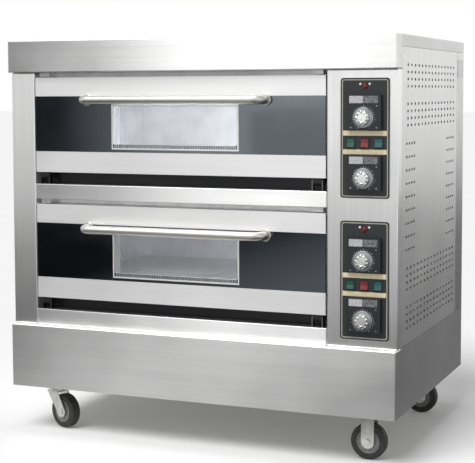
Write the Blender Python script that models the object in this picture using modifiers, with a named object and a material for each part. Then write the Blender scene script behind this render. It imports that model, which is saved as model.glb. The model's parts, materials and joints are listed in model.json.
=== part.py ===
"""Two-deck electric deck oven on casters: cabinet, doors, chambers, controls and running gear.

Units are metres and +Z is up. The origin is at the middle of the footprint, on the floor.
The doors face -Y. Run it with: blender --background --python part.py
"""

import math

import bmesh
import bpy
from mathutils import Matrix, Vector

for leftover in list(bpy.data.objects):
    bpy.data.objects.remove(leftover, do_unlink=True)

# ---------------------------------------------------------------- driving dimensions

# Cabinet
WIDTH = 1.200
DEPTH = 0.798
SHEET = 0.0015
FOLD = 0.0030
SEAM = 0.0008
GAP = 0.0003
SKIRT_CLEARANCE = 0.137
SKIRT_HEIGHT = 0.189
LOWER_RAIL_HEIGHT = 0.0495
MIDDLE_RAIL_HEIGHT = 0.047
CAP_HEIGHT = 0.095
COVER_BAND = 0.034
FRONT_SETBACK = 0.020
FRONT_RETURN = 0.054
REAR_RETURN = 0.096
PILLAR_WIDTH = 0.0795
COLUMN_WIDTH = 0.2005
PANEL_FLANGE = 0.018
PAN_RISE = 0.006
PAN_HEIGHT = 0.030
PAN_SHEET = 0.003
PAN_FOLD = 0.0045

# Doors
DOOR_HEIGHT = 0.2815
DOOR_THICKNESS = 0.045
DOOR_SIDE_GAP = 0.0035
DOOR_SEAL_GAP = 0.0033
RECESS_HEIGHT = 0.0345
HEADER_GAP = 0.015
DOOR_SKIN = 0.002
TOP_STRIP = 0.0555
BOTTOM_STRIP = 0.062
GLASS_THICKNESS = 0.005
WINDOW_WIDTH = 0.393
WINDOW_SILL = 0.0125
WINDOW_HEAD = 0.0275
COLLAR = 0.004
COLLAR_PROUD = 0.0015
PANE_THICKNESS = 0.004
HANDLE_DIAMETER = 0.0245
HANDLE_SPAN = 0.562
HANDLE_DROP = 0.0115
HANDLE_STANDOFF = 0.045
HANDLE_BEND = 0.026
FERRULE_DIAMETER = 0.034
FERRULE_LENGTH = 0.006
DOOR_VENT_LENGTH = 0.100
DOOR_VENT_WIDTH = 0.004
DOOR_VENT_OFFSET = 0.250
DOOR_VENT_SETBACK = 0.008

# Door hinges
HINGE_INSET = 0.026
HINGE_DROP = 0.0125
HINGE_BACK = 0.013
LUG_WIDTH = 0.024
LUG_RADIUS = 0.009
EAR_THICKNESS = 0.004
EAR_GAP = 0.0006
EAR_WALL = 0.0035
PIN_RADIUS = 0.004
PIN_CLEARANCE = 0.0004
PIN_REACH = 0.0036
PIN_SEGMENTS = 20
BORE_SEGMENTS = 16
STOP_GAP = 0.003
STOP_HEAD_GAP = 0.0006

# Chambers
CHAMBER_SIDE_INSET = 0.029
CHAMBER_RISE = 0.004
CHAMBER_DROP = 0.0195
REAR_SPACE = 0.1067
MOUTH_RISE = 0.044
MOUTH_DROP = 0.0315
FLANGE_OVERLAP = 0.015
HEARTH_THICKNESS = 0.005
HEARTH_END_GAP = 0.0012
HEARTH_MIDDLE_GAP = 0.003
HEARTH_EDGE = 0.001
LEDGE_WIDTH = 0.012
LEDGE_THICKNESS = 0.003
BEAM_WIDTH = 0.036
WEB_SHEET = 0.003
WEB_SIDE_INSET = 0.171
ELEMENT_DIAMETER = 0.010
ELEMENT_RUNS = 4
ELEMENT_END_GAP = 0.085
ELEMENT_SIDE_GAP = 0.045
ELEMENT_TERMINAL = 0.028
BOTTOM_ELEMENT_RISE = 0.020
TOP_ELEMENT_DROP = 0.018

# Controls
PLATE_WIDTH = 0.137
PLATE_HEIGHT = 0.3245
PLATE_THICKNESS = 0.0025
PLATE_CORNER = 0.008
PLATE_EDGE_INSET = 0.0925
PLATE_RISES = {"lower": 0.102, "upper": 0.1106}
CONTROLLER_SIZE = 0.096
CONTROLLER_PROUD = 0.012
CONTROLLER_LAP = 0.0024
CONTROLLER_CLEARANCE = 0.0004
CONTROLLER_CORNER = 0.004
CONTROLLER_DEPTH = 0.065
CONTROLLER_HEIGHTS = {"top_heat": 0.070, "bottom_heat": -0.0932}
KNOB_DROP = 0.0143
KNOB_DIAMETER = 0.042
KNOB_SKIRT_DIAMETER = 0.056
KNOB_HEIGHT = 0.018
KNOB_RECESS_DIAMETER = 0.0231
KNOB_EDGE = 0.0015
KNOB_CORNER = 0.003
KNOB_SKIRT_ROOT = 0.0039
KNOB_SKIRT_RIM = 0.0028
SPINDLE_DIAMETER = 0.006
SPINDLE_LENGTH = 0.011
ROCKER_PITCH = 0.0389
ROCKER_HEIGHT = -0.013
ROCKER_WIDTH = 0.0195
ROCKER_LENGTH = 0.0262
ROCKER_DEPTH = 0.012
ROCKER_PROUD = 0.0035
ROCKER_PIVOT_DEPTH = 0.0035
ROCKER_DISH = 0.0016
ROCKER_TILT = math.radians(7.0)
ROCKER_CLEARANCE = 0.0004
BEZEL_BORDER = 0.0030
BEZEL_PROUD = 0.0018

# Casters
WHEEL_DIAMETER = 0.102
WHEEL_WIDTH = 0.032
WHEEL_SHOULDER = 0.006
WHEEL_DISH = 0.0045
TREAD_THICKNESS = 0.0173
HUB_WALL = 0.009
HUB_SLOPE = 0.003
AXLE_DIAMETER = 0.012
AXLE_CLEARANCE = 0.0003
CASTER_SIDE_INSET = 0.100
CASTER_FRONT_INSET = 0.098
CASTER_REAR_INSET = 0.122
CASTER_TRAIL = 0.038
CASTER_PLATE_LENGTH = 0.104
CASTER_PLATE_WIDTH = 0.080
CASTER_PLATE_THICKNESS = 0.004
FORK_SHEET = 0.003
FORK_SIDE_GAP = 0.002
FORK_LEG_WIDTH = 0.037
FORK_CROWN_GAP = 0.005
BEARING_DIAMETER = 0.050
BEARING_GAP = 0.0006
BOLT_HEAD_DIAMETER = 0.019
BOLT_HEAD_LENGTH = 0.004
AXLE_RECESS = 0.001
SWIVEL_ANGLES = {"front": math.radians(-20.0), "rear": math.radians(25.0)}

# Cable inlet and rating plate
GLAND_DIAMETER = 0.030
GLAND_REACH = 0.022
GLAND_BORE_DIAMETER = 0.0108
GLAND_BORE_DEPTH = 0.007
GLAND_MOUTH_DIAMETER = 0.0186
GLAND_DOME_DIAMETER = 0.0250
GLAND_DOME_LENGTH = 0.012
GLAND_EDGE = 0.003
GLAND_SPIGOT_DIAMETER = 0.024
GLAND_SPIGOT_LENGTH = 0.012
GLAND_SIDE_INSET = 0.110
GLAND_RISE = 0.070
DATA_PLATE_WIDTH = 0.070
DATA_PLATE_HEIGHT = 0.054
DATA_PLATE_THICKNESS = 0.0008
DATA_PLATE_DROP = 0.050

# ---------------------------------------------------------------- derived places

HANDLE_FRONT = HANDLE_STANDOFF + HANDLE_DIAMETER / 2 - FRONT_SETBACK
Y_FRONT = (HANDLE_FRONT - DEPTH - GLAND_REACH) / 2
Y_FACE = Y_FRONT + FRONT_SETBACK
Y_DOOR_BACK = Y_FACE + DOOR_THICKNESS
Y_FLANGE = Y_DOOR_BACK + DOOR_SEAL_GAP
Y_RETURN = Y_FRONT + FRONT_RETURN
Y_REAR = Y_FRONT + DEPTH
Y_REAR_STRIP = Y_REAR - REAR_RETURN

Z_BASE_TOP = SKIRT_CLEARANCE + SKIRT_HEIGHT
Z_LOWER_DOOR = Z_BASE_TOP + LOWER_RAIL_HEIGHT + RECESS_HEIGHT
Z_MIDDLE_RAIL = Z_LOWER_DOOR + DOOR_HEIGHT + HEADER_GAP
Z_UPPER_DOOR = Z_MIDDLE_RAIL + MIDDLE_RAIL_HEIGHT + RECESS_HEIGHT
Z_CAP = Z_UPPER_DOOR + DOOR_HEIGHT + HEADER_GAP
Z_TOP = Z_CAP + CAP_HEIGHT
Z_COVER = Z_TOP - COVER_BAND
DECKS = {"lower": Z_LOWER_DOOR, "upper": Z_UPPER_DOOR}

HALF = WIDTH / 2
X_PILLAR = -HALF + PILLAR_WIDTH
X_COLUMN = HALF - COLUMN_WIDTH
X_DOOR_LEFT = X_PILLAR + DOOR_SIDE_GAP
X_DOOR_RIGHT = X_COLUMN - DOOR_SIDE_GAP
X_DOOR = (X_DOOR_LEFT + X_DOOR_RIGHT) / 2
X_PLATE = HALF - PLATE_EDGE_INSET
HINGE_XS = (X_DOOR_LEFT + HINGE_INSET, X_DOOR_RIGHT - HINGE_INSET)

CHAMBER_WIDTH = X_DOOR_RIGHT - X_DOOR_LEFT - 2 * CHAMBER_SIDE_INSET
CHAMBER_DEPTH = Y_REAR - REAR_SPACE - 2 * SHEET - Y_FLANGE
CHAMBER_HEIGHT = DOOR_HEIGHT - CHAMBER_RISE - CHAMBER_DROP
MOUTH_HEIGHT = DOOR_HEIGHT - MOUTH_RISE - MOUTH_DROP
ELEMENT_PITCH = (CHAMBER_DEPTH - 2 * ELEMENT_END_GAP) / (ELEMENT_RUNS - 1)
WINDOW_RISE = BOTTOM_STRIP + WINDOW_SILL
WINDOW_HEIGHT = DOOR_HEIGHT - TOP_STRIP - WINDOW_HEAD - WINDOW_RISE
HANDLE_RISE = DOOR_HEIGHT - TOP_STRIP - HANDLE_DROP
CONTROLLER_BODY = CONTROLLER_SIZE - 2 * CONTROLLER_LAP
CONTROLLER_CUTOUT = CONTROLLER_BODY + 2 * CONTROLLER_CLEARANCE

# ---------------------------------------------------------------- collections and materials

PARTS = bpy.data.collections.new("deck_oven")
TOOLS = bpy.data.collections.new("cutters")
for group in (PARTS, TOOLS):
    bpy.context.scene.collection.children.link(group)

MATERIALS = {}


def finish(name, colour, roughness, metallic=0.0, alpha=1.0):
    """The Principled material of one name, made once."""
    if name not in MATERIALS:
        material = bpy.data.materials.new(name)
        material.use_nodes = True
        shader = material.node_tree.nodes["Principled BSDF"]
        shader.inputs["Base Color"].default_value = (*colour, 1.0)
        shader.inputs["Roughness"].default_value = roughness
        shader.inputs["Metallic"].default_value = metallic
        shader.inputs["Alpha"].default_value = alpha
        material.diffuse_color = (*colour, alpha)
        MATERIALS[name] = material
    return MATERIALS[name]


def brushed_steel(name):
    return finish(name, (0.72, 0.72, 0.71), 0.34, 1.0)


def polished_steel(name):
    return finish(name, (0.86, 0.86, 0.85), 0.18, 1.0)


def zinc_steel(name):
    return finish(name, (0.70, 0.70, 0.68), 0.42, 1.0)


def oven_steel(name):
    return finish(name, (0.52, 0.53, 0.54), 0.45, 1.0)


# ---------------------------------------------------------------- modelling helpers


def adopt(name, mesh, material):
    """Makes a part from a mesh, with its origin at the middle of its box."""
    part = bpy.data.objects.new(name, mesh)
    PARTS.objects.link(part)
    mesh.materials.append(material)
    recentre(part, box_middle(mesh))
    return part


def box_middle(mesh):
    points = [vertex.co for vertex in mesh.vertices]
    low = Vector(map(min, *points))
    high = Vector(map(max, *points))
    return (low + high) / 2


def recentre(part, origin):
    """Moves the part's origin to a world point, and leaves its shape where it is."""
    shift = Vector(origin) - part.location
    part.data.transform(Matrix.Translation(-shift))
    part.location = Vector(origin)


def add_box(bm, low, high):
    """Adds a box between two corners, and returns its vertices."""
    low, high = Vector(low), Vector(high)
    matrix = Matrix.Translation((low + high) / 2) @ Matrix.Diagonal((*(high - low), 1.0))
    return bmesh.ops.create_cube(bm, size=1.0, matrix=matrix)["verts"]


def add_rod(bm, start, end, radius, segments=24):
    """Adds a capped cylinder between two points."""
    start, end = Vector(start), Vector(end)
    turn = (end - start).to_track_quat("Z", "Y").to_matrix().to_4x4()
    bmesh.ops.create_cone(
        bm,
        cap_ends=True,
        segments=segments,
        radius1=radius,
        radius2=radius,
        depth=(end - start).length,
        matrix=Matrix.Translation((start + end) / 2) @ turn,
    )


def solid(name, boxes=(), rods=()):
    """A mesh of separate boxes and cylinders."""
    bm = bmesh.new()
    for low, high in boxes:
        add_box(bm, low, high)
    for rod in rods:
        add_rod(bm, *rod)
    mesh = bpy.data.meshes.new(name)
    bm.to_mesh(mesh)
    bm.free()
    return mesh


def block(name, low, high, material):
    return adopt(name, solid(name, [(low, high)]), material)


def tool(name, boxes=(), rods=()):
    """A cutter, or a shape to be joined to a part, kept out of the render."""
    return tool_from(solid(name, boxes, rods))


def tool_from(mesh):
    shape = bpy.data.objects.new(mesh.name, mesh)
    TOOLS.objects.link(shape)
    shape.hide_render = True
    shape.display_type = "WIRE"
    return shape


def combine(part, shape, operation):
    step = part.modifiers.new(shape.name, "BOOLEAN")
    step.operation = operation
    step.solver = "EXACT"
    step.object = shape
    return part


def cut(part, name, boxes=(), rods=()):
    return combine(part, tool(part.name + "_" + name, boxes, rods), "DIFFERENCE")


def join(part, name, boxes=(), rods=()):
    return combine(part, tool(part.name + "_" + name, boxes, rods), "UNION")


def soften(part, width, segments=2):
    """Rounds the part's sharp edges."""
    step = part.modifiers.new("soft_edges", "BEVEL")
    step.width = width
    step.segments = segments
    step.limit_method = "ANGLE"
    step.angle_limit = math.radians(40.0)
    return part


SIDES = {
    "left": Vector((-1, 0, 0)),
    "right": Vector((1, 0, 0)),
    "front": Vector((0, -1, 0)),
    "back": Vector((0, 1, 0)),
    "bottom": Vector((0, 0, -1)),
    "top": Vector((0, 0, 1)),
}


def folded_shell(name, low, high, open_sides, material, sheet=SHEET, fold=FOLD):
    """A folded sheet-metal box with no wall on its open sides."""
    bm = bmesh.new()
    add_box(bm, low, high)
    bm.normal_update()
    missing = [
        face for face in bm.faces if any(face.normal.dot(SIDES[side]) > 0.9 for side in open_sides)
    ]
    bmesh.ops.delete(bm, geom=missing, context="FACES")
    mesh = bpy.data.meshes.new(name)
    bm.to_mesh(mesh)
    bm.free()
    part = adopt(name, mesh, material)
    soften(part, fold)
    wall = part.modifiers.new("sheet", "SOLIDIFY")
    wall.thickness = sheet
    wall.offset = -1.0
    wall.use_even_offset = True
    return part


def rounded_slab(name, low, high, axis, radius, segments=5):
    """A mesh of a box whose four edges along one axis are rounded."""
    bm = bmesh.new()
    add_box(bm, low, high)
    along = [
        edge
        for edge in bm.edges
        if abs((edge.verts[0].co - edge.verts[1].co).normalized()[axis]) > 0.9
    ]
    bmesh.ops.bevel(bm, geom=along, offset=radius, segments=segments, affect="EDGES", profile=0.5)
    mesh = bpy.data.meshes.new(name)
    bm.to_mesh(mesh)
    bm.free()
    return mesh


def prism(name, outline, thickness):
    """A mesh of a flat outline in X and Z, with its thickness centred on Y = 0."""
    bm = bmesh.new()
    face = bm.faces.new([bm.verts.new((x, -thickness / 2, z)) for x, z in outline])
    swept = bmesh.ops.extrude_face_region(bm, geom=[face])
    moved = [item for item in swept["geom"] if isinstance(item, bmesh.types.BMVert)]
    bmesh.ops.translate(bm, vec=(0, thickness, 0), verts=moved)
    bmesh.ops.recalc_face_normals(bm, faces=bm.faces)
    mesh = bpy.data.meshes.new(name)
    bm.to_mesh(mesh)
    bm.free()
    return mesh


def turned(name, profile, closed, material, steps=32):
    """A turned part about its own Z: the profile is (radius, height), down the outer side."""
    bm = bmesh.new()
    points = [bm.verts.new((radius, 0, height)) for radius, height in profile]
    for first, second in zip(points, points[1:]):
        bm.edges.new((first, second))
    if closed:
        bm.edges.new((points[-1], points[0]))
    mesh = bpy.data.meshes.new(name)
    bm.to_mesh(mesh)
    bm.free()
    part = bpy.data.objects.new(name, mesh)
    PARTS.objects.link(part)
    mesh.materials.append(material)
    lathe = part.modifiers.new("lathe", "SCREW")
    lathe.steps = steps
    lathe.render_steps = steps
    lathe.use_merge_vertices = True
    lathe.merge_threshold = 0.00001
    lathe.use_smooth_shade = True
    return part


def arc(centre, radius, start, end, steps):
    """Points along an arc, in degrees, from start to end."""
    angles = [math.radians(start + (end - start) * i / steps) for i in range(steps + 1)]
    return [(centre[0] + radius * math.cos(a), centre[1] + radius * math.sin(a)) for a in angles]


def tube(name, points, diameter, sides_resolution=2):
    """A mesh of a round tube through a list of points, with welded caps."""
    curve = bpy.data.curves.new(name + "_path", "CURVE")
    curve.dimensions = "3D"
    curve.bevel_depth = diameter / 2
    curve.bevel_resolution = sides_resolution
    curve.use_fill_caps = True
    spline = curve.splines.new("POLY")
    spline.points.add(len(points) - 1)
    for place, point in zip(spline.points, points):
        place.co = (*point, 1.0)
    guide = bpy.data.objects.new(name + "_path", curve)
    TOOLS.objects.link(guide)
    depsgraph = bpy.context.evaluated_depsgraph_get()
    mesh = bpy.data.meshes.new_from_object(guide.evaluated_get(depsgraph))
    mesh.name = name
    bpy.data.objects.remove(guide, do_unlink=True)
    bm = bmesh.new()
    bm.from_mesh(mesh)
    bmesh.ops.remove_doubles(bm, verts=bm.verts, dist=0.00001)
    bmesh.ops.recalc_face_normals(bm, faces=bm.faces)
    bm.to_mesh(mesh)
    bm.free()
    return mesh


def pivot(name, place, parts):
    """An empty on a joint axis that carries the parts that move with it."""
    axis = bpy.data.objects.new(name, None)
    axis.empty_display_size = 0.05
    axis.location = place
    PARTS.objects.link(axis)
    carry(axis, parts)


def carry(parent, parts):
    bpy.context.view_layer.update()
    for part in parts:
        part.parent = parent
        part.matrix_parent_inverse = parent.matrix_world.inverted()


def smooth(part, angle=35.0):
    part.data.shade_smooth()
    part.data.set_sharp_from_angle(angle=math.radians(angle))
    return part


# ---------------------------------------------------------------- base and cabinet skins


def build_base():
    steel = brushed_steel("base_steel")
    folded_shell(
        "base_front_panel",
        (-HALF, Y_FRONT, SKIRT_CLEARANCE),
        (HALF, Y_RETURN, Z_BASE_TOP),
        ("back", "bottom"),
        steel,
    )
    folded_shell(
        "base_shell",
        (-HALF, Y_RETURN + SEAM, SKIRT_CLEARANCE),
        (HALF, Y_REAR, Z_BASE_TOP),
        ("front", "bottom", "top"),
        steel,
    )
    inside = SHEET + GAP
    pan_bottom = SKIRT_CLEARANCE + PAN_RISE
    folded_shell(
        "base_pan",
        (-HALF + inside, Y_FRONT + inside, pan_bottom),
        (HALF - inside, Y_REAR - inside, pan_bottom + PAN_HEIGHT),
        ("top",),
        zinc_steel("pan_steel"),
        PAN_SHEET,
        PAN_FOLD,
    )
    floor = rounded_slab(
        "base_floor",
        (-HALF + inside, Y_RETURN + SEAM, Z_BASE_TOP - SHEET),
        (HALF - inside, Y_REAR - inside, Z_BASE_TOP),
        2,
        FOLD,
        2,
    )
    adopt("base_floor", floor, zinc_steel("floor_steel"))


def build_front_frame():
    """The pillar and the control column that stand on the base and frame the doors."""
    steel = brushed_steel("front_steel")
    bottom = Z_BASE_TOP + GAP
    top = Z_CAP - GAP
    jamb_back = Y_FLANGE - GAP
    pillar = folded_shell(
        "left_pillar", (-HALF, Y_FACE, bottom), (X_PILLAR, jamb_back, top), ("back",), steel
    )
    cut(pillar, "return", [outer_return(-1, bottom, top)])
    column = folded_shell(
        "control_column", (X_COLUMN, Y_FACE, bottom), (HALF, jamb_back, top), ("back",), steel
    )
    cut(column, "return", [outer_return(1, bottom, top)])
    holes = []
    for deck in DECKS:
        middle = plate_middle(deck)
        holes += [controller_hole(middle + rise) for rise in CONTROLLER_HEIGHTS.values()]
        holes += [rocker_hole(offset, middle, BEZEL_BORDER / 2) for offset in (-1, 0, 1)]
    cut(column, "panel_cutouts", holes)


def outer_return(side, bottom, top):
    """The space of the side panel's front flange, which the post's outer wall stops short of."""
    outer = side * (HALF + FOLD)
    inner = side * (HALF - PANEL_FLANGE - GAP)
    low = (min(outer, inner), Y_RETURN, bottom - FOLD)
    high = (max(outer, inner), Y_FLANGE + FOLD, top + FOLD)
    return low, high


def plate_middle(deck):
    return DECKS[deck] + PLATE_RISES[deck]


def controller_hole(height):
    half = CONTROLLER_CUTOUT / 2
    return (
        (X_PLATE - half, Y_FACE - FOLD * 2, height - half),
        (X_PLATE + half, Y_FACE + FOLD, height + half),
    )


def rocker_hole(offset, middle, extra=0.0):
    """The opening of one rocker in the plate, grown by extra on every side."""
    x = X_PLATE + offset * ROCKER_PITCH
    z = middle + ROCKER_HEIGHT
    half_width = ROCKER_WIDTH / 2 + ROCKER_CLEARANCE + extra
    half_length = ROCKER_LENGTH / 2 + ROCKER_CLEARANCE + extra
    return (
        (x - half_width, Y_FACE - FOLD * 2, z - half_length),
        (x + half_width, Y_FACE + FOLD, z + half_length),
    )


def build_rails():
    """The rails under each door, with the ears that the door's hinge pins turn in."""
    steel = brushed_steel("rail_steel")
    spans = {
        "lower_rail": (Z_BASE_TOP + GAP, Z_LOWER_DOOR - RECESS_HEIGHT),
        "middle_rail": (Z_MIDDLE_RAIL, Z_UPPER_DOOR - RECESS_HEIGHT),
    }
    for name, (bottom, top) in spans.items():
        rail = folded_shell(
            name,
            (X_PILLAR + GAP, Y_FACE, bottom),
            (X_COLUMN - GAP, Y_DOOR_BACK, top),
            ("back",),
            steel,
        )
        pin_height = top + RECESS_HEIGHT - HINGE_DROP
        join(rail, "ears", [ear_box(x, side, top, pin_height) for x in HINGE_XS for side in (-1, 1)])
        bore = PIN_RADIUS + PIN_CLEARANCE
        bores = [pin_rod(x, pin_height, bore, EAR_THICKNESS, BORE_SEGMENTS) for x in HINGE_XS]
        cut(rail, "pin_bores", (), bores)


def ear_box(x, side, rail_top, pin_height):
    near = x + side * (LUG_WIDTH / 2 + EAR_GAP)
    far = near + side * EAR_THICKNESS
    y = Y_FACE + HINGE_BACK
    half = PIN_RADIUS + EAR_WALL
    return (
        (min(near, far), y - half, rail_top - SHEET / 2),
        (max(near, far), y + half, pin_height + half),
    )


def pin_rod(x, height, radius, beyond, segments):
    """A cylinder along the hinge axis, through one lug and a little beyond it on both sides."""
    half = LUG_WIDTH / 2 + EAR_GAP + beyond
    y = Y_FACE + HINGE_BACK
    return (x - half, y, height), (x + half, y, height), radius, segments


def build_cap_and_cover():
    steel = brushed_steel("cap_steel")
    folded_shell(
        "cap_fascia", (-HALF, Y_FRONT, Z_CAP), (HALF, Y_RETURN, Z_TOP), ("back",), steel
    )
    folded_shell(
        "top_cover",
        (-HALF, Y_RETURN + SEAM, Z_COVER),
        (HALF, Y_REAR, Z_TOP),
        ("front", "bottom"),
        brushed_steel("cover_steel"),
    )


def build_side_and_rear_panels():
    steel = brushed_steel("panel_steel")
    bottom = Z_BASE_TOP + SEAM
    top = Z_COVER - SEAM
    front = Y_RETURN + SEAM
    back = Y_REAR_STRIP - SEAM
    folded_shell(
        "side_panel_left",
        (-HALF, front, bottom),
        (-HALF + PANEL_FLANGE, back, top),
        ("right",),
        steel,
    )
    folded_shell(
        "side_panel_right",
        (HALF - PANEL_FLANGE, front, bottom),
        (HALF, back, top),
        ("left",),
        steel,
    )
    rear = folded_shell(
        "rear_panel",
        (-HALF, Y_REAR_STRIP, bottom),
        (HALF, Y_REAR, top),
        ("front", "bottom", "top"),
        steel,
    )
    x, z = gland_place()
    bore = GLAND_SPIGOT_DIAMETER / 2 + GAP
    cut(rear, "gland_bore", (), [((x, Y_REAR - FOLD * 2, z), (x, Y_REAR + FOLD, z), bore, 24)])


def gland_place():
    return HALF - GLAND_SIDE_INSET, Z_BASE_TOP + GLAND_RISE


def build_gland_and_data_plate():
    radius = GLAND_DIAMETER / 2
    spigot = GLAND_SPIGOT_DIAMETER / 2
    bore = GLAND_BORE_DIAMETER / 2
    dome = GLAND_DOME_DIAMETER / 2
    dome_base = GLAND_REACH - GLAND_DOME_LENGTH
    profile = [
        (0.0, GLAND_REACH - GLAND_BORE_DEPTH),
        (bore, GLAND_REACH - GLAND_BORE_DEPTH),
        (bore, GLAND_REACH),
        (GLAND_MOUTH_DIAMETER / 2, GLAND_REACH),
        (dome, GLAND_REACH - GLAND_EDGE),
        (dome, dome_base),
        (radius, dome_base - (radius - dome) / 2),
        (radius, GAP),
        (spigot, GAP),
        (spigot, -GLAND_SPIGOT_LENGTH),
        (0.0, -GLAND_SPIGOT_LENGTH),
    ]
    gland = turned("cable_gland", profile, False, finish("gland_plastic", (0.03, 0.03, 0.03), 0.5), 24)
    x, z = gland_place()
    gland.location = (x, Y_REAR, z)
    gland.rotation_euler = (-math.pi / 2, 0, 0)
    top = Z_COVER - SEAM - DATA_PLATE_DROP + DATA_PLATE_HEIGHT / 2
    middle = Y_REAR_STRIP + REAR_RETURN / 2
    block(
        "data_plate",
        (HALF + GAP, middle - DATA_PLATE_WIDTH / 2, top - DATA_PLATE_HEIGHT),
        (HALF + GAP + DATA_PLATE_THICKNESS, middle + DATA_PLATE_WIDTH / 2, top),
        finish("plate_aluminium", (0.60, 0.60, 0.60), 0.45, 1.0),
    )


# ---------------------------------------------------------------- baking chambers


def build_chamber(deck):
    """The liner with its front flange, hearth ledges, bearing webs and element bores."""
    z = DECKS[deck]
    steel = oven_steel("chamber_steel")
    half = CHAMBER_WIDTH / 2
    floor = z + CHAMBER_RISE
    roof = floor + CHAMBER_HEIGHT
    y_front = Y_FLANGE
    y_back = Y_FLANGE + SHEET + CHAMBER_DEPTH
    chamber = block(
        deck + "_chamber",
        (X_DOOR - half - SHEET, y_front + SHEET / 2, floor),
        (X_DOOR + half + SHEET, y_back + SHEET, roof),
        steel,
    )
    flange = (
        (X_PILLAR - FLANGE_OVERLAP, y_front, z - RECESS_HEIGHT - FLANGE_OVERLAP),
        (X_COLUMN + FLANGE_OVERLAP, y_front + SHEET, z + DOOR_HEIGHT + HEADER_GAP + FLANGE_OVERLAP),
    )
    join(chamber, "flange", [flange])
    cavity = (
        (X_DOOR - half, y_front + SHEET, floor + SHEET),
        (X_DOOR + half, y_back, roof - SHEET),
    )
    cut(chamber, "cavity", [cavity])
    mouth = (
        (X_DOOR - half, y_front - FOLD, z + MOUTH_RISE),
        (X_DOOR + half, y_front + SHEET * 2, z + MOUTH_RISE + MOUTH_HEIGHT),
    )
    cut(chamber, "mouth", [mouth])
    join(chamber, "hearth_rests", hearth_rests(z, half, y_front, y_back))
    join(chamber, "webs", bearing_webs(deck, floor, y_front, y_back))
    bores = []
    for height in element_heights(z):
        for end in element_ends():
            radius = ELEMENT_DIAMETER / 2 + GAP
            inner = X_DOOR + half
            bores.append(((inner - FOLD, end, height), (inner + FOLD, end, height), radius, 16))
    cut(chamber, "element_bores", (), bores)
    stop_half = LUG_WIDTH / 2 + EAR_THICKNESS
    stops = [
        (
            (x - stop_half, Y_FACE + LUG_RADIUS, z + DOOR_HEIGHT + STOP_GAP),
            (x + stop_half, y_front + SHEET / 2, z + DOOR_HEIGHT + HEADER_GAP - STOP_HEAD_GAP),
        )
        for x in HINGE_XS
    ]
    join(chamber, "door_stops", stops)


def hearth_rests(z, half, y_front, y_back):
    """Two side ledges and a middle beam, just under the hearth plates."""
    top = z + MOUTH_RISE
    bottom = top - LEDGE_THICKNESS
    front = y_front + SHEET / 2
    back = y_back + SHEET / 2
    return [
        ((X_DOOR - half - SHEET / 2, front, bottom), (X_DOOR - half + LEDGE_WIDTH, back, top)),
        ((X_DOOR + half - LEDGE_WIDTH, front, bottom), (X_DOOR + half + SHEET / 2, back, top)),
        ((X_DOOR - BEAM_WIDTH / 2, front, bottom), (X_DOOR + BEAM_WIDTH / 2, back, top)),
    ]


def bearing_webs(deck, floor, y_front, y_back):
    """Upright webs that carry the chamber on the base floor, or on the chamber below."""
    front = y_front + SHEET * 2
    if deck == "lower":
        bottom = Z_BASE_TOP + GAP
    else:
        bottom = DECKS["lower"] + CHAMBER_RISE + CHAMBER_HEIGHT + GAP
    spread = CHAMBER_WIDTH / 2 - WEB_SIDE_INSET
    return [
        (
            (X_DOOR + side * spread - WEB_SHEET / 2, front, bottom),
            (X_DOOR + side * spread + WEB_SHEET / 2, y_back - WEB_SHEET, floor + SHEET / 2),
        )
        for side in (-1, 1)
    ]


def element_heights(z):
    floor = z + CHAMBER_RISE
    return floor + BOTTOM_ELEMENT_RISE, floor + CHAMBER_HEIGHT - TOP_ELEMENT_DROP


def element_ends():
    """The Y of an element's two ends, which leave the chamber through its right wall."""
    span = ELEMENT_PITCH * (ELEMENT_RUNS - 1)
    middle = Y_FLANGE + SHEET + CHAMBER_DEPTH / 2
    return middle - span / 2, middle + span / 2


def element_path(height):
    """A serpentine of long runs along X, joined by half turns."""
    left = X_DOOR - CHAMBER_WIDTH / 2 + ELEMENT_SIDE_GAP
    right = X_DOOR + CHAMBER_WIDTH / 2 - ELEMENT_SIDE_GAP
    terminal = X_DOOR + CHAMBER_WIDTH / 2 + ELEMENT_TERMINAL
    radius = ELEMENT_PITCH / 2
    first, last = element_ends()
    points = [(terminal, first, height)]
    for run in range(ELEMENT_RUNS - 1):
        y = first + run * ELEMENT_PITCH + radius
        if run % 2 == 0:
            bend = arc((left + radius, y), radius, 270, 90, 6)
        else:
            bend = arc((right - radius, y), radius, -90, 90, 6)
        points += [(x, place, height) for x, place in bend]
    points.append((terminal, last, height))
    return points


def build_elements(deck):
    sheath = finish("element_sheath", (0.20, 0.19, 0.18), 0.55, 1.0)
    names = ("bottom_element", "top_element")
    for name, height in zip(names, element_heights(DECKS[deck])):
        mesh = tube(deck + "_" + name, element_path(height), ELEMENT_DIAMETER)
        smooth(adopt(deck + "_" + name, mesh, sheath))


def build_hearths(deck):
    """Two hearth plates side by side, resting on the ledges and the middle beam."""
    steel = finish("hearth_steel", (0.34, 0.34, 0.35), 0.5, 1.0)
    bottom = DECKS[deck] + MOUTH_RISE + GAP
    front = Y_FLANGE + SHEET + HEARTH_END_GAP
    back = front + CHAMBER_DEPTH - 2 * HEARTH_END_GAP
    inner = HEARTH_MIDDLE_GAP / 2
    outer = CHAMBER_WIDTH / 2 - HEARTH_END_GAP
    for side, name in ((-1, "left"), (1, "right")):
        edges = sorted((X_DOOR + side * inner, X_DOOR + side * outer))
        hearth = block(
            f"{deck}_hearth_{name}",
            (edges[0], front, bottom),
            (edges[1], back, bottom + HEARTH_THICKNESS),
            steel,
        )
        soften(hearth, HEARTH_EDGE, 1)


# ---------------------------------------------------------------- doors


def window_box(z, grow, y_low, y_high):
    """The window's opening, grown on every side, between two depths."""
    half = WINDOW_WIDTH / 2 + grow
    return (
        (X_DOOR - half, y_low, z + WINDOW_RISE - grow),
        (X_DOOR + half, y_high, z + WINDOW_RISE + WINDOW_HEIGHT + grow),
    )


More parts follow.
